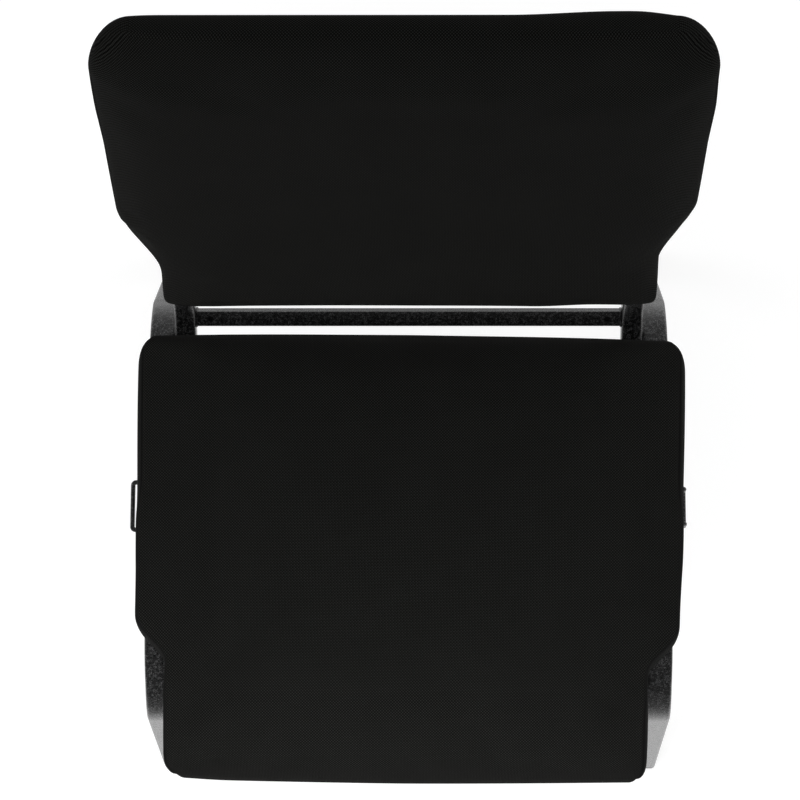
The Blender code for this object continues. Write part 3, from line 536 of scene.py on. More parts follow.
def weld_beads():
    """Rippled beads where tubes and wires meet."""
    lines = []
    for side in (-1, 1):
        for at, half, size, corner, bead, across in (
            (REAR_BAR_AT, REAR_BAR_HALF, REAR_BAR_TUBE, BAR_CORNER, REAR_BAR_BEAD, REAR_BAR_ACROSS),
            (FRONT_BAR_AT, FRONT_BAR_HALF, UPRIGHT_TUBE, TUBE_CORNER, FRONT_BAR_BEAD, Y_AXIS),
        ):
            up = X_AXIS.cross(across)
            ring = rounded_square(size, corner, 5)
            dense = []
            for (a, b), (c, d) in zip(ring, ring[1:] + ring[:1]):
                steps = max(1, round(math.hypot(c - a, d - b) / BEAD_STEP))
                dense += [(a + (c - a) * i / steps, b + (d - b) * i / steps) for i in range(steps)]
            end = at + Vector((side * (half - BEAD_INSET), 0, 0))
            path = [end + across * a + up * b for a, b in dense]
            if size == UPRIGHT_TUBE:
                path = [p for p in path if p.z < RAIL_TOP - 0.002]
            lines.append((path, bead, size != UPRIGHT_TUBE))
        x = side * (RAIL_INNER - GAP / 2)
        for start in RUN_BEADS_AT:
            path = [Vector((x, start + BEAD_STEP * i, RUN_BEAD_Z)) for i in range(RUN_BEAD_RINGS)]
            lines.append((path, RUN_BEAD, False))
    for side, width in ((-1, LOOP_WIDTH), (1, HOOK_WIDTH)):
        for end in (-1, 1):
            y = GANG_Y + end * (width - WIRE) / 2
            for beside in (-1, 1):
                path = [
                    Vector((side * (WIRE_BEAD_X + BEAD_STEP * i), y + beside * WIRE * 0.5, WIRE_BEAD_Z))
                    for i in range(WIRE_BEAD_RINGS)
                ]
                lines.append((path, WIRE_BEAD, False))
    points, faces = [], []
    for order, (path, radius, closed) in enumerate(lines):
        swell = []
        for i in range(len(path)):
            ripple = 1 + RIPPLE * math.sin(2 * math.pi * i / RIPPLE_RINGS)
            ripple += UNEVEN * noise.noise((order * 3.7, i * 0.21, 0.5))
            taper = 1.0 if closed else min(1.0, 0.35 + 0.16 * min(i, len(path) - 1 - i))
            swell.append(ripple * taper)
        across = X_AXIS if abs((path[1] - path[0]).x) < 1e-6 else Y_AXIS
        rings = sweep(path, circle(radius, 10), across, closed, swell)
        more, shell = skin(rings, closed, len(points))
        points += more
        faces += shell
    piece("weld_beads", points, faces, COAT, "powder_coat")


for word, side in (("left", -1), ("right", 1)):
    side_frame("side_frame_" + word, side)
    back_upright("back_upright_" + word, side)
rear_bar = crossbar(
    "rear_crossbar", REAR_BAR_AT, REAR_BAR_HALF, REAR_BAR_TUBE, BAR_CORNER, REAR_BAR_ACROSS,
)
vents = [
    (REAR_BAR_AT + REAR_BAR_UP * (REAR_BAR_TUBE / 2) + Vector((x, 0, 0)), REAR_BAR_UP)
    for x in (VENT_HOLE_INSET - REAR_BAR_HALF, REAR_BAR_HALF - VENT_HOLE_INSET)
]
drilled(rear_bar, vents, VENT_HOLE, VENT_HOLE_DEPTH)
crossbar("front_crossbar", FRONT_BAR_AT, FRONT_BAR_HALF, UPRIGHT_TUBE, TUBE_CORNER, Y_AXIS)
ganging_wire("ganging_loop_left", -1, LOOP_WIDTH, 0)
ganging_wire("ganging_hook_right", 1, HOOK_WIDTH, HOOK_DROP)
weld_beads()


# Cushions
def ease(value):
    value = min(1.0, max(0.0, value))
    return value * value * (3 - 2 * value)


def seat_half_width(y, side):
    notch = SEAT_NOTCH_Y + (SEAT_NOTCH_BACK if side < 0 else 0.0)
    blend_in = ease((y - notch) / SEAT_NOTCH_RUN + 0.5)
    return (SEAT_NOSE_WIDTH + (SEAT_WIDTH - SEAT_NOSE_WIDTH) * blend_in) / 2


def back_half_width(along, side):
    blend_in = ease((along - BACK_STEPS_AT[side > 0]) / BACK_STEP_RUN + 0.5)
    wide = BACK_WIDTH - BACK_FLARE * (1 - ease(along / BACK_HEIGHT))
    more = BACK_SHOULDER * ease((along - 0.21) / 0.07)
    if side > 0:
        more *= 1 - ease((along - 0.27) / 0.05)
    return (BACK_WAIST + (wide - BACK_WAIST) * blend_in) / 2 + more


def distances(points):
    """How far along a line of points each one is."""
    steps = np.linalg.norm(np.diff(points, axis=0), axis=1)
    return np.concatenate(([0], np.cumsum(steps)))


def even(keys, count):
    """count + 1 evenly spaced points on a smooth curve through the keys."""
    keys = np.array(keys)
    ends = np.vstack((2 * keys[0] - keys[1], keys, 2 * keys[-1] - keys[-2]))
    dense = []
    for p, q, r, s in zip(ends, ends[1:], ends[2:], ends[3:]):
        for t in np.arange(20) / 20:
            dense.append(0.5 * (2 * q + (r - p) * t + (2 * p - 5 * q + 4 * r - s) * t ** 2
                                + (3 * q - p - 3 * r + s) * t ** 3))
    dense.append(keys[-1])
    dense = np.array(dense)
    run = distances(dense)
    wanted = np.linspace(0, run[-1], count + 1)
    return np.stack([np.interp(wanted, run, dense[:, axis]) for axis in (0, 1)], axis=1)


SEAM_CREASE = 0.7
CUSHION_PRESSURE, CLOTH_FRAMES = 4.0, 20


class Shell:
    """A closed quad mesh with weave coordinates at each face corner, seams and held points."""

    def __init__(self):
        self.points, self.faces, self.weave, self.held, self.seam = [], [], [], [], []

    def add(self, point, held=0.0, seam=0.0):
        self.points.append(Vector(point))
        self.held.append(held)
        self.seam.append(seam)
        return len(self.points) - 1

    def quad(self, corners, weave):
        self.faces.append(tuple(corners))
        self.weave.append(list(weave))

    def build(self, name):
        mesh = bpy.data.meshes.new(name)
        mesh.from_pydata([tuple(p) for p in self.points], [], self.faces)
        layer = mesh.attributes.new("weave", "FLOAT_VECTOR", "CORNER")
        flat = [(*uv, 0.0) for corners in self.weave for uv in corners]
        layer.data.foreach_set("vector", np.array(flat, dtype=np.float32).ravel())
        layer = mesh.attributes.new("seam", "FLOAT", "POINT")
        layer.data.foreach_set("value", np.array(self.seam, dtype=np.float32))
        mesh.shade_smooth()
        mesh.materials.append(CLOTH)
        made = add_object(name, mesh)
        group = made.vertex_groups.new(name="held")
        for i, weight in enumerate(self.held):
            if weight:
                group.add([i], weight, "REPLACE")
        crease = mesh.attributes.new("crease_edge", "FLOAT", "EDGE")
        for edge in mesh.edges:
            a, b = edge.vertices
            if min(self.seam[a], self.seam[b]) >= 1.0:
                crease.data[edge.index].value = SEAM_CREASE
        return made


def inflate(made, cap):
    """Swells a cushion with cloth pressure; no point moves further than the cap."""
    before = [v.co.copy() for v in made.data.vertices]
    cloth = made.modifiers.new("cloth", "CLOTH")
    put(
        cloth.settings, quality=5, mass=0.2, tension_stiffness=12, compression_stiffness=12,
        shear_stiffness=6, bending_stiffness=0.4, use_pressure=True,
        uniform_pressure_force=CUSHION_PRESSURE, vertex_group_mass="held",
    )
    cloth.settings.effector_weights.gravity = 0
    put(cloth.point_cache, frame_start=1, frame_end=CLOTH_FRAMES)
    for step in range(1, CLOTH_FRAMES + 1):
        scene.frame_set(step)
    graph = bpy.context.evaluated_depsgraph_get()
    swollen = made.evaluated_get(graph).to_mesh()
    after = [v.co.copy() for v in swollen.vertices]
    made.evaluated_get(graph).to_mesh_clear()
    made.modifiers.remove(cloth)
    scene.frame_set(1)
    for vertex, a, b in zip(made.data.vertices, before, after):
        move = b - a
        if move.length > 1e-7:
            vertex.co = a + move * (cap * math.tanh(move.length / cap) / move.length)


def settle(made, shares, rounds):
    """Evens out a mesh: each round moves every point by its share towards its neighbours' middle."""
    mesh = made.data
    places = np.empty(len(mesh.vertices) * 3)
    mesh.vertices.foreach_get("co", places)
    places = places.reshape(-1, 3)
    ends = np.empty(len(mesh.edges) * 2, dtype=np.int64)
    mesh.edges.foreach_get("vertices", ends)
    ends = ends.reshape(-1, 2)
    degree = np.bincount(ends.ravel(), minlength=len(places))[:, None]
    shares = np.array(shares)[:, None]
    for _ in range(rounds):
        total = np.zeros_like(places)
        np.add.at(total, ends[:, 0], places[ends[:, 1]])
        np.add.at(total, ends[:, 1], places[ends[:, 0]])
        places += shares * (total / degree - places)
    mesh.vertices.foreach_set("co", places.ravel())
    mesh.update()


def sink_seams(made, seam, depth):
    """Draws the sewn edges in."""
    normals = [v.normal.copy() for v in made.data.vertices]
    for vertex, normal, share in zip(made.data.vertices, normals, seam):
        if share:
            vertex.co -= normal * depth * share
    made.data.update()


def finish_cushion(made, replaced):
    put(made.modifiers.new("smooth", "SUBSURF"), levels=1, render_levels=1)
    made.data.update()
    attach(made, "root")
    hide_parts(*replaced)


SEAT_TOP = [
    (0.0832, 0.4560), (0.0812, 0.4650), (0.0740, 0.4705), (0.0600, 0.4725), (0.0300, 0.4735),
    (-0.0300, 0.4738), (-0.0900, 0.4735), (-0.1400, 0.4728), (-0.1800, 0.4718), (-0.2110, 0.4700),
    (-0.2360, 0.4660), (-0.2540, 0.4600), (-0.2680, 0.4510), (-0.2770, 0.4390), (-0.2815, 0.4250),
]
SEAT_FRONT = [
    (-0.2815, 0.4250), (-0.2825, 0.4120), (-0.2815, 0.4000), (-0.2780, 0.3900), (-0.2720, 0.3836),
    (-0.2640, 0.3816),
]
SEAT_BOTTOM = [
    (-0.2640, 0.3816), (-0.2450, 0.3812), (-0.2280, 0.3818), (-0.2120, 0.3852), (-0.2000, 0.3925),
    (-0.1900, 0.4000), (-0.1800, 0.4046), (-0.1700, 0.4058), (-0.1000, 0.4060), (0.0000, 0.4060),
    (0.0700, 0.4060), (0.0790, 0.4068), (0.0832, 0.4100),
]
SEAT_REAR = [(0.0832, 0.4100), (0.0848, 0.4210), (0.0854, 0.4330), (0.0848, 0.4450), (0.0832, 0.4560)]
SEAM_IN = 0.0056            # side seams inside the seat's full width
SIDE_SWELL = 0.0049         # the side panels stand out past their seams
LIP_IN = 0.003              # the front roll between the legs is this much narrower
SEAT_REAR_CORNER, SEAT_NOSE_CORNERS = 0.018, (0.0145, 0.009)
SEAT_REAR_END, SEAT_FRONT_END = 0.0860, -0.2830
SEAT_TAPER = 0.0022         # each side stands out this much at the rear, and in at the notches
SEAT_NOSE_MORE = 0.0033     # the nose's stuffing on each side
SEAT_TURN, SEAT_PIVOT_Y = 0.0113, -0.030
SEAT_SHIFT, SEAT_NOSE_SHIFT = 0.0016, -0.0012
SEAT_SWELL_CAP, SEAT_SEAM_SINK = 0.008, 0.0024
SWELL_LEAST, SWELL_NOSES = 0.2, (0.4, 0.9)          # shares at the notches, and at the nose
RIGHT_TAPER, RIGHT_NOTCH_TAPER = 0.0022, 0.0024     # the right side draws in more
NOSE_DRAW, NOSE_CORNER_DRAW = 0.010, 0.0016     # back, on the right and at the left corner
EDGE_DROP, CROWN_DROP = 0.009, 0.003
PANEL_HELD = 0.6            # the side panels ahead, against the pressure
LIP_TOP, LIP_CLEAR = 0.409, 0.0012      # below this the nose stays clear of the rails


def corner_inset(distance, radius):
    """How far a rounded corner draws in, at a distance from the edge that it turns into."""
    share = min(0.97, max(0.0, 1 - distance / radius))
    return radius * (1 - math.sqrt(1 - share * share))


def closed_mesh(shell, name):
    made = shell.build(name)
    face_outward(made.data)
    return made


def seat_cushion():
    runs, rises = 66, 8
    columns = [-1.0, -0.992, -0.979] + list(np.linspace(-0.960, 0.960, 76)) + [0.979, 0.992, 1.0]
    heights = (0.0, 0.05, 0.13, 0.26, 0.42, 0.58, 0.74, 0.88, 1.0)
    top = even(SEAT_TOP, runs)
    front = even(SEAT_FRONT, rises)
    bottom = even(SEAT_BOTTOM, runs)
    rear = even(SEAT_REAR, rises)
    loop = np.vstack((top[:-1], front[:-1], bottom[:-1], rear[:-1]))
    count = len(loop)
    run = distances(np.vstack((loop, loop[:1])))
    shell = Shell()

    def swell_share(y, side):
        """The side panels stand out most behind, least at the notches."""
        behind = ease((y + 0.085) / 0.05)
        ahead = ease((-0.205 - y) / 0.03)
        return max(SWELL_LEAST, behind, SWELL_NOSES[side > 0] * ahead)

    def half_at(y, z, side):
        lip = ease((0.4125 - z) / 0.007) * ease((SEAT_NOTCH_Y + 0.020 - y) / 0.015)
        corner = (corner_inset(SEAT_REAR_END - y, SEAT_REAR_CORNER)
                  + corner_inset(y - SEAT_FRONT_END, SEAT_NOSE_CORNERS[side > 0]))
        taper = SEAT_TAPER * (2 * ease((y + 0.16) / 0.24) - 1)
        nose = SEAT_NOSE_MORE * ease((SEAT_NOTCH_Y - y) / 0.04 + 0.5)
        if side > 0:
            taper -= RIGHT_TAPER * ease((-0.09 - y) / 0.07) * ease((y - SEAT_NOTCH_Y) / 0.03 + 0.5)
            taper -= RIGHT_NOTCH_TAPER * ease((-0.172 - y) / 0.018) * ease((y + 0.232) / 0.028)
        seam = SEAM_IN - SIDE_SWELL * (1 - swell_share(y, side))
        return seat_half_width(y, side) + taper + nose - seam - LIP_IN * lip - corner

    def turned(x, y, z):
        """The cushion sits turned a little to the left on its frame, its nose most."""
        nose = SEAT_NOSE_SHIFT * ease((SEAT_NOTCH_Y - y) / 0.05)
        ahead = ease((-0.20 - y) / 0.05)
        draw = NOSE_DRAW * max(0.0, x) + NOSE_CORNER_DRAW * ease((-x - 0.145) / 0.05)
        across = x + SEAT_SHIFT + nose + SEAT_TURN * (y - SEAT_PIVOT_Y)
        return across, y - SEAT_TURN * x + draw * ahead, z

    def drop(u, i):
        """How far the top falls towards the side seams."""
        share = ease(min(i, runs - i) / 8 + 0.25)
        return share * (EDGE_DROP * abs(u) ** 9 + CROWN_DROP * u * u)

    for u in columns:
        for i, (y, z) in enumerate(loop):
            on_seam = abs(u) == 1.0
            under = runs + rises <= i < 2 * runs + rises
            fall = drop(u, i) if i <= runs else 0.0
            held = 1.0 if on_seam or (under and y > -0.19) else 0.35 if under else 0.0
            shell.add(turned(u * half_at(y, z, u), y, z - fall), held, 1.0 if on_seam else 0.0)
    for c in range(len(columns) - 1):
        for i in range(count):
            j = (i + 1) % count
            spots = [(c, i, run[i]), (c + 1, i, run[i]), (c + 1, j, run[i + 1]), (c, j, run[i + 1])]
            shell.quad(
                [at * count + k for at, k, s in spots],
                [(columns[at] * half_at(*loop[k], columns[at]), s) for at, k, s in spots],
            )

    def loop_index(j, k):
        if k == 0:
            return j
        if j == runs:
            return runs + k
        if k == rises:
            return runs + rises + runs - j
        return (2 * runs + rises + rises - k) % count

    for side, column in ((-1, 0), (1, len(columns) - 1)):
        spots = {}
        for j in range(runs + 1):
            for k in range(rises + 1):
                if j in (0, runs) or k in (0, rises):
                    spots[j, k] = column * count + loop_index(j, k)
                    continue
                s = j / runs
                t = heights[k]
                fall = drop(1.0, j)
                under = bottom[runs - j]
                ahead, behind = front[k], rear[rises - k]
                corners = ((1 - s) * (1 - t) * top[0] + s * (1 - t) * top[-1]
                           + s * t * bottom[0] + (1 - s) * t * bottom[-1])
                y, z = ((1 - t) * (top[j] - (0, fall)) + t * under
                        + s * ahead + (1 - s) * behind - corners)
                swell = SIDE_SWELL * swell_share(y, side) * math.sin(math.pi * t) ** 0.6
                swell *= ease(min(j, runs - j) / 5)
                held = PANEL_HELD * ease((-0.09 - y) / 0.04)
                spots[j, k] = shell.add(turned(side * (half_at(y, z, side) + swell), y, z), held)
        for j in range(runs):
            for k in range(rises):
                keys = [(j, k), (j + 1, k), (j + 1, k + 1), (j, k + 1)]
                if side < 0:
                    keys.reverse()
                ids = [spots[key] for key in keys]
                shell.quad(ids, [(shell.points[n].y, shell.points[n].z) for n in ids])
    made = closed_mesh(shell, "seat_cushion")
    inflate(made, SEAT_SWELL_CAP)
    limit = RAIL_INNER - LIP_CLEAR
    for vertex in made.data.vertices:
        if vertex.co.z < LIP_TOP and vertex.co.y < SEAT_NOTCH_Y + 0.015:
            vertex.co.x = min(limit, max(-limit, vertex.co.x))
    sink_seams(made, shell.seam, SEAT_SEAM_SINK)
    finish_cushion(made, ("seat_cover", "seat_foam"))


BACK_CORNER, BACK_FOOT_CORNER = 0.032, 0.008
BACK_DEEP = 0.0316          # rear of the back behind its widest plane
BACK_ROW = 0.0055           # about this between the rows of points
BACK_SWELL_CAP, BACK_SEAM_SINK = 0.006, 0.0010
BACK_PAD, BACK_CROWN = 0.0155, 0.003                        # the front's stuffing
FOOT_PAD, FOOT_CROWN, FOOT_FLAT = 0.0054, 0.0012, 0.0016    # more of it at the foot
SIDE_ROLL, FOOT_ROLL, TOP_ROLL = 0.024, 0.010, 0.036        # the front's rounded edges
REAR_BULGE, RIM_LIFT = 0.0015, 0.0033
BACK_ASIDE, BACK_ASIDE_ABOVE = 0.0013, 0.0027   # to the right at the foot, then to the left
TOP_SETTLE, TOP_ROUNDS = 0.30, 3
CORNER_SETTLE, CORNER_ROUNDS = 0.35, 14


def back_cushion():
    low, high = BACK_FOOT_CORNER, BACK_HEIGHT - BACK_CORNER
    # Each row's place along the back, its half widths and the outward direction at its ends
    stops = []

    def stop(along, inset, out_x, out_z):
        halves = [back_half_width(along, side) - inset for side in (-1, 1)]
        stops.append((along, halves, out_x, out_z))

    for turn in (90, 60, 30, 0):
        a = math.radians(turn)
        stop(low * (1 - math.sin(a)), low * (1 - math.cos(a)), math.cos(a), -math.sin(a))
    middle = round((high - low) / BACK_ROW)
    for i in range(1, middle):
        stop(low + (high - low) * i / middle, 0.0, 1.0, 0.0)
    for turn in (0, 15, 30, 45, 58, 70, 80, 86, 90):
        a = math.radians(turn)
        inset = BACK_CORNER * (1 - math.cos(a))
        stop(high + BACK_CORNER * math.sin(a), inset, math.cos(a), math.sin(a))
    columns = [-1.0, -0.994, -0.983] + list(np.linspace(-0.964, 0.964, 76)) + [0.983, 0.994, 1.0]
    last, rows = len(columns) - 1, len(stops) - 1
    straight, rounded = 3, 5
    depth_rows = straight + rounded
    shell = Shell()

    def roll(distance, radius):
        return math.sqrt(max(0.0, 1 - (1 - min(1.0, distance / radius)) ** 2))

    def edge_depth(along):
        """Depth of the front panel's edge: side seams, the top's highest line, the bottom's lowest."""
        return (0.002 + 0.010 * ease((along - high) / BACK_CORNER)
                - 0.016 * (1 - ease(along / 0.030)))

    def front_depth(u, along, half):
        crown = BACK_CROWN * (1 - u * u) * math.sin(math.pi * along / BACK_HEIGHT)
        swell = roll((1 - abs(u)) * half, SIDE_ROLL) * roll(along, FOOT_ROLL)
        swell *= roll(BACK_HEIGHT - along, TOP_ROLL)
        edge = edge_depth(along)
        foot = FOOT_PAD + FOOT_CROWN * (1 - u * u) - FOOT_FLAT * ease((u - 0.5) / 0.3)
        thick = BACK_PAD + crown + foot * (1 - ease(along / 0.09))
        return edge - (thick + edge) * swell

    def rear_roll(along, over):
        """Across and deep radius of the rear edge's rounding; over is 1 on the top edge."""
        side = 0.006 + 0.018 * ease((along - 0.20) / 0.13)
        return side * (1 - over) + 0.007 * over, min(side, 0.022) * (1 - over) + 0.011 * over

    def rear_rim(u, along):
        """The stuffing stands further back at the top right corner."""
        lift = ease((u - 0.38) / 0.40) * (1 - ease((u - 0.84) / 0.16)) * ease((along - 0.26) / 0.09)
        return BACK_DEEP - REAR_BULGE + RIM_LIFT * lift

    def placed(across, depth, along):
        aside = BACK_ASIDE - BACK_ASIDE_ABOVE * ease(along / 0.12)
        return BACK_BASE + BACK_UP * along + BACK_OUT * depth + Vector((across + aside, 0, 0))

    def on_rim(c, r):
        return c in (0, last) or r in (0, rows)

    ids = {}
    for r, (along, halves, out_x, out_z) in enumerate(stops):
        roll_x, roll_deep = rear_roll(along, max(0.0, out_z) ** 2)
        sewn = 1 - ease((along - high + 0.014) / 0.016)
        for c, u in enumerate(columns):
            half = halves[u > 0]
            side_seam = sewn if c in (0, last) else 0.0
            held = 1.0 if c in (0, last) else 0.5 if r == 0 else 0.0
            front, rear = front_depth(u, along, half), rear_rim(u, along)
            spot = placed(u * half, front, along)
            ids[0, c, r] = ids["front", c, r] = shell.add(spot, held, side_seam)
            for k in range(1, depth_rows + 1):
                turn = math.pi / 2 * max(0, k - straight) / rounded
                inset = roll_x * (1 - math.cos(turn))
                if k <= straight:
                    depth = front + (rear - roll_deep - front) * k / straight
                else:
                    depth = rear - roll_deep + roll_deep * math.sin(turn)
                spot = placed(u * (half - inset * out_x), depth, along - inset * out_z)
                if k == depth_rows:
                    bulge = BACK_OUT * REAR_BULGE * roll((1 - abs(u)) * half, 0.02) * roll(along, 0.02)
                    held = 1.0 if on_rim(c, r) else 0.7
                    ids[k, c, r] = ids["rear", c, r] = shell.add(spot + bulge, held)
                elif on_rim(c, r):
                    ids[k, c, r] = shell.add(spot)

    def lengths(face, start=0.0, way=1):
        """Each grid point's place on the cloth: along its row, and up the middle column."""
        grid = np.array([
            [shell.points[ids[face, c, r]] for r in range(rows + 1)] for c in range(last + 1)
        ])
        across = np.zeros((last + 1, rows + 1))
        across[1:] = np.cumsum(np.linalg.norm(np.diff(grid, axis=0), axis=2), axis=0)
        along = np.zeros((last + 1, rows + 1))
        along[:, 1:] = np.cumsum(np.linalg.norm(np.diff(grid, axis=1), axis=2), axis=1)
        along = np.broadcast_to(along[last // 2], along.shape)
        return across - across[last // 2], start + way * (along - along[:, -1:])

    def strip(k, c, r):
        """The cloth's length over the edge, from the front to row k."""
        spots = [shell.points[ids[n, c, r]] for n in range(k + 1)]
        return sum((a - b).length for a, b in zip(spots, spots[1:]))

    front_flat = lengths("front")
    rear_flat = lengths("rear", np.array([[strip(depth_rows, c, rows)] for c in range(last + 1)]), -1)
    for c in range(last):
        for r in range(rows):
            spots = [(c, r), (c + 1, r), (c + 1, r + 1), (c, r + 1)]
            for face, flat in (("front", front_flat), ("rear", rear_flat)):
                shell.quad([ids[face, *q] for q in spots], [(flat[0][q], flat[1][q]) for q in spots])
                spots.reverse()
    rim = ([(c, 0) for c in range(last)] + [(last, r) for r in range(rows)]
           + [(c, rows) for c in range(last, 0, -1)] + [(0, r) for r in range(rows, 0, -1)])
    for one, other in zip(rim, rim[1:] + rim[:1]):
        level = one[1] == other[1]
        for k in range(depth_rows):
            spots = [(k, *one), (k + 1, *one), (k + 1, *other), (k, *other)]
            weave = []
            for deep, c, r in spots:
                across, along = front_flat[0][c, r], front_flat[1][c, r]
                step = strip(deep, c, r)
                if level:
                    weave.append((across, along + (step if r == rows else -step)))
                else:
                    weave.append((across + (step if c else -step), along))
            shell.quad([ids[q] for q in spots], weave)
    made = closed_mesh(shell, "back_cushion")
    inflate(made, BACK_SWELL_CAP)
    shares = []
    for vertex in made.data.vertices:
        along = (vertex.co - BACK_BASE).dot(BACK_UP)
        shares.append(TOP_SETTLE * ease((along - high + 0.020) / 0.030))
    settle(made, shares, TOP_ROUNDS)
    shares = [0.0] * len(shell.points)
    for r in range(2, rows - 1):
        for c in range(2, last - 1):
            corner = ease((abs(columns[c]) - 0.45) / 0.3) * ease((stops[r][0] - 0.16) / 0.08)
            shares[ids["front", c, r]] = CORNER_SETTLE * corner
    settle(made, shares, CORNER_ROUNDS)
    sink_seams(made, shell.seam, BACK_SEAM_SINK)
    finish_cushion(made, ("back_cover", "back_front_foam", "back_rear_foam"))


seat_cushion()
back_cushion()


# Underside
DUST_COVER_Z, DUST_CLOTH, DUST_SLACK = 0.4054, 0.0004, 0.0022
STAPLE_HALF, STAPLE_LEG, STAPLE_BEND, STAPLE_WIRE = 0.005, 0.0016, 0.0008, 0.0004
SHANK, HEAD, HEAD_HEIGHT, HEAD_ROUND = 0.0029, 0.0060, 0.003, 0.0027
SOCKET, SOCKET_DEPTH = 0.0020, 0.0019


def dust_cover():
    """Thin cloth stapled under the board, slack between the tubes."""
    half, front, rear = 0.1965, -0.1562, 0.0552
    columns, rows = 78, 42
    points = []
    for r in range(rows + 1):
        for c in range(columns + 1):
            x, y = half * (2 * c / columns - 1), front + (rear - front) * r / rows
            slack = ease((0.172 - abs(x)) / 0.05) * ease((y + 0.104) / 0.03) * ease((0.050 - y) / 0.03)
            fold = 0.6 + 0.4 * noise.noise((x * 22, y * 9, 0.3))
            fold += 0.2 * noise.noise((x * 9, y * 60, 4.1))
            points.append(Vector((x, y, DUST_COVER_Z - DUST_SLACK * slack * fold)))
    faces = []
    for r in range(rows):
        for c in range(columns):
            a = r * (columns + 1) + c
            faces.append((a, a + columns + 1, a + columns + 2, a + 1))
    made = piece("dust_cover", points, faces, CAMBRIC, "cambric")
    put(made.modifiers.new("thick", "SOLIDIFY"), thickness=DUST_CLOTH, offset=-1)
    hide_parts("seat_dust_cover")


def staples():
    """Wire staples along the dust cover's free edges."""
    spots = [(0.034 * i, -0.1505, 0.0) for i in range(-5, 6)]
    spots += [(0.033 * i, 0.0495, 0.0) for i in range(-5, 6)]
    spots += [(side * 0.1915, y, math.pi / 2) for side in (-1, 1) for y in (-0.140, -0.100)]
    points, faces = [], []
    for order, (x, y, turn) in enumerate(spots):
        turn += 0.12 * noise.noise((order * 2.3, 0.7, 0.1))
        way = Vector((math.cos(turn), math.sin(turn), 0))
        middle = Vector((x, y, DUST_COVER_Z - 0.0003))
        corners = [
            middle + way * (end * STAPLE_HALF) + Vector((0, 0, height))
            for end, height in ((-1, STAPLE_LEG), (-1, 0.0), (1, 0.0), (1, STAPLE_LEG))
        ]
        path = bent_path(corners, STAPLE_BEND)
        rings = sweep(path, circle(STAPLE_WIRE, 8), Vector((-way.y, way.x, 0)))
        more, shell = skin(rings, False, len(points))
        points += more
        faces += shell
    piece("dust_cover_staples", points, faces, ZINC, "zinc")


def socket_screw(name):
    """A button-head screw with a hexagon socket, under a tube."""
    low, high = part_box(name)
    x, y, foot, tip = (low[0] + high[0]) / 2, (low[1] + high[1]) / 2, low[2], high[2]
    count = 36

    def ring(radius, z, flats=0.0):
        spots = []
        for i in range(count):
            a = 2 * math.pi * i / count
            r = radius
            if flats:
                r = flats / math.cos((a + math.pi / 6) % (math.pi / 3) - math.pi / 6)
            spots.append(Vector((x + r * math.cos(a), y + r * math.sin(a), z)))
        return spots

    rings = [
        ring(SHANK, tip), ring(SHANK, foot + HEAD_HEIGHT),
        ring(0.0057, foot + HEAD_HEIGHT), ring(HEAD, foot + HEAD_ROUND),
    ]
    for i in range(1, 7):
        a = math.radians(15 * i)
        height = foot + HEAD_ROUND - HEAD_ROUND * math.sin(a)
        rings.append(ring(HEAD - 0.0016 * (1 - math.cos(a)), height))
    rings += [
        ring(0, foot, 0.00215), ring(0, foot + 0.00015, SOCKET),
        ring(0, foot + SOCKET_DEPTH, SOCKET), ring(0.0008, foot + 0.0021),
    ]
    stand_in(name, "_socket_head", rings, ZINC, "zinc")


dust_cover()
staples()
for word in ("front_left", "front_right", "rear_left", "rear_right"):
    socket_screw("seat_screw_" + word)


# Carried-over nodes
FINISHES = {
    "glide_": PLASTIC, "upright_plug_": PLASTIC, "seat_board": PLYWOOD, "back_board": PLYWOOD,
    "seat_nut_": ZINC, "back_nut_": ZINC, "back_screw_": ZINC,
}
for name, carried in NODES.items():
    for start, finish in FINISHES.items():
        if name.startswith(start):
            carried.material_slots[0].material = finish
    if name.startswith(("glide_", "upright_plug_")):
        soften = carried.modifiers.new("soften", "BEVEL")
        put(soften, width=0.0004, segments=2, limit_method="ANGLE", angle_limit=SHARP)


# Stage, light and camera
def background_share():
    """1 for rays from the camera, or by way of gloss or glass."""
    rays = node("LightPath").outputs
    seen = calc("MAXIMUM", rays["Is Camera Ray"], rays["Is Glossy Ray"])
    return calc("MAXIMUM", seen, rays["Is Transmission Ray"])


def band(place, start, full, fade, end):
    """1 from full to fade, 0 before start and after end."""
    return times(spread(place, start, full), spread(place, fade, end, 1.0, 0.0))


FLOOR_HALF, FLOOR_Z = 6, -0.0002
GLOSS_DARK = 0.12           # the darkest of the floor and the sky in gloss


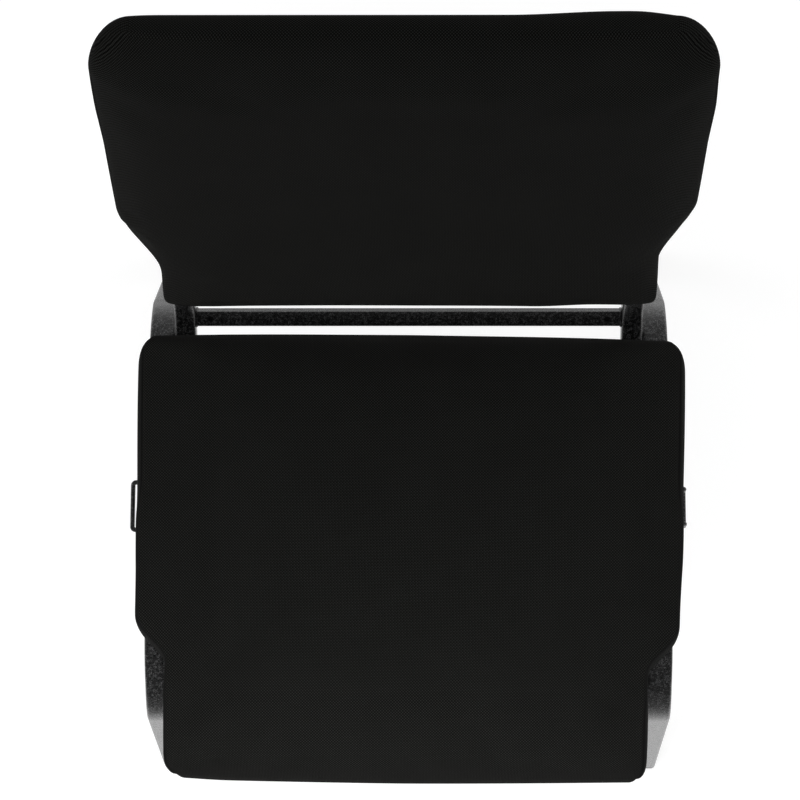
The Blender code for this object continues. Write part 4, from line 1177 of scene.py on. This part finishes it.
def pale_floor():
    """White to the camera, with the shadow. In gloss, white near the chair, dark ahead, and dark behind
    it with a painted shadow of the chair.
    """
    made = bpy.data.materials.new("pale_floor")
    open_tree(made)
    tree.nodes.remove(tree.nodes["Principled BSDF"])
    speckle = grain(40.0, 3.0)
    pale = blend(spread(speckle, 0.3, 0.7), (0.78, 0.78, 0.78), (0.82, 0.82, 0.82))
    lit = node("BsdfDiffuse", {"Color": pale})
    mirrored = node("LightPath").outputs["Is Glossy Ray"]
    shade = node("BsdfDiffuse", {"Color": spread(mirrored, 0.0, 1.0, 0.45, 0.20)})
    x, y, _ = node("SeparateXYZ", {0: node("TexCoord").outputs["Object"]}).outputs
    away = calc("SQRT", calc("ADD", times(x, x), times(y, y)))
    # painted shadow: in gloss the floor darkens in bands behind the chair, standing in for the chair's
    # own shadow there
    painted_shadow_behind_rails = band(y, 0.28, 0.38, 0.42, 0.56)
    painted_shadow_behind_bar = band(y, 0.28, 0.48, 0.68, 1.0)
    middle = spread(calc("ABSOLUTE", x), 0.215, 0.245, 1.0, 0.0)
    behind = calc("MAXIMUM", painted_shadow_behind_rails, times(painted_shadow_behind_bar, middle))
    dark = calc("MAXIMUM", spread(y, -0.50, -0.60), behind)
    direct = calc("SUBTRACT", 1.0, mirrored)
    direct = times(direct, spread(away, 0.8, 2.4, 0.68, 0.82))
    backdrop = spread(dark, 0.0, 1.0, 1.0, GLOSS_DARK)
    backdrop = calc("ADD", backdrop, spread(y, 0.45, 0.60, 0.0, 0.10))
    fading = calc("SUBTRACT", backdrop, spread(y, 0.7, 1.6, 0.0, 0.40))
    strength = calc("ADD", direct, times(mirrored, fading))
    glow = node("Emission", {"Color": (1, 1, 1, 1), "Strength": strength})
    white = node("AddShader", {0: shade.outputs[0], 1: glow.outputs[0]})
    mixed = node("MixShader", {0: background_share(), 1: lit.outputs[0], 2: white.outputs[0]})
    feed(tree.nodes["Material Output"], {"Surface": mixed.outputs[0]})
    return made


floor_mesh = bpy.data.meshes.new("floor")
floor_mesh.from_pydata(
    [(x * FLOOR_HALF, y * FLOOR_HALF, FLOOR_Z) for x, y in ((-1, -1), (1, -1), (1, 1), (-1, 1))],
    [], [(0, 1, 2, 3)],
)
floor_mesh.materials.append(pale_floor())
floor = add_object("floor", floor_mesh)

# The sky is white to the camera, dim in gloss, but brighter straight behind the chair
SKY_LIGHT = 0.40            # its light on everything
world = bpy.data.worlds.new("studio")
open_tree(world)
scene.world = world
rays = node("LightPath").outputs
seen = calc("MAXIMUM", rays["Is Camera Ray"], rays["Is Transmission Ray"])
toward = node("SeparateXYZ", {0: node("TexCoord").outputs["Generated"]}).outputs[1]
dim = node("MapRange", {
    "Value": toward, "From Min": 0.0, "From Max": 1.0, "To Min": GLOSS_DARK, "To Max": 0.34,
}).outputs[0]
gloss = calc("ADD", dim, spread(toward, 0.985, 1.0, 0.0, 0.36))
gloss = times(gloss, rays["Is Glossy Ray"])
unseen = calc("SUBTRACT", 1.0, calc("MAXIMUM", seen, rays["Is Glossy Ray"]))
strength = calc("ADD", calc("MAXIMUM", seen, gloss), times(unseen, SKY_LIGHT))
feed(tree.nodes["Background"], {"Strength": strength, "Color": (1, 1, 1, 1)})


def area_light(name, place, target, size, power):
    data = bpy.data.lights.new(name, "AREA")
    put(data, shape="RECTANGLE", size=size[0], size_y=size[1], energy=power)
    aim = (Vector(target) - Vector(place)).to_track_quat("-Z", "Y").to_euler()
    lamp = put(add_object(name, data), location=place, rotation_euler=aim)
    put(lamp, visible_camera=False, visible_glossy=False)


area_light("key", (-0.20, -0.66, 1.05), (0, -0.05, 0.50), (0.8, 0.6), 2.1)
area_light("front", (-0.03, -0.50, 0.85), (-0.03, -0.40, 0.40), (0.7, 0.25), 1.75)
area_light("nose", (0, -0.56, 0.55), (0, -0.27, 0.44), (0.7, 0.2), 0.62)
area_light("side_left", (-1.10, 0.10, 1.00), (0, -0.05, 0.47), (0.5, 0.8), 4.8)
area_light("side_right", (1.10, 0.10, 1.00), (0, -0.05, 0.47), (0.5, 0.8), 3.8)
area_light("fill", (0.50, 2.20, 0.75), (0, 0.25, 0.60), (1.6, 1.0), 14)

CAMERA_TILT = math.radians(90 - 77.02)
CAMERA_YAW = math.radians(0.34)
CAMERA_AT, CAMERA_LENS = (0.010, -0.6125, 3.2434), 154.755
camera_data = put(bpy.data.cameras.new("camera"), sensor_width=36, lens=CAMERA_LENS, clip_end=50)
aim = Matrix.Rotation(CAMERA_TILT, 3, "X") @ Matrix.Rotation(CAMERA_YAW, 3, "Y")
camera = put(add_object("camera", camera_data), location=CAMERA_AT, rotation_euler=aim.to_euler())
scene.camera = camera
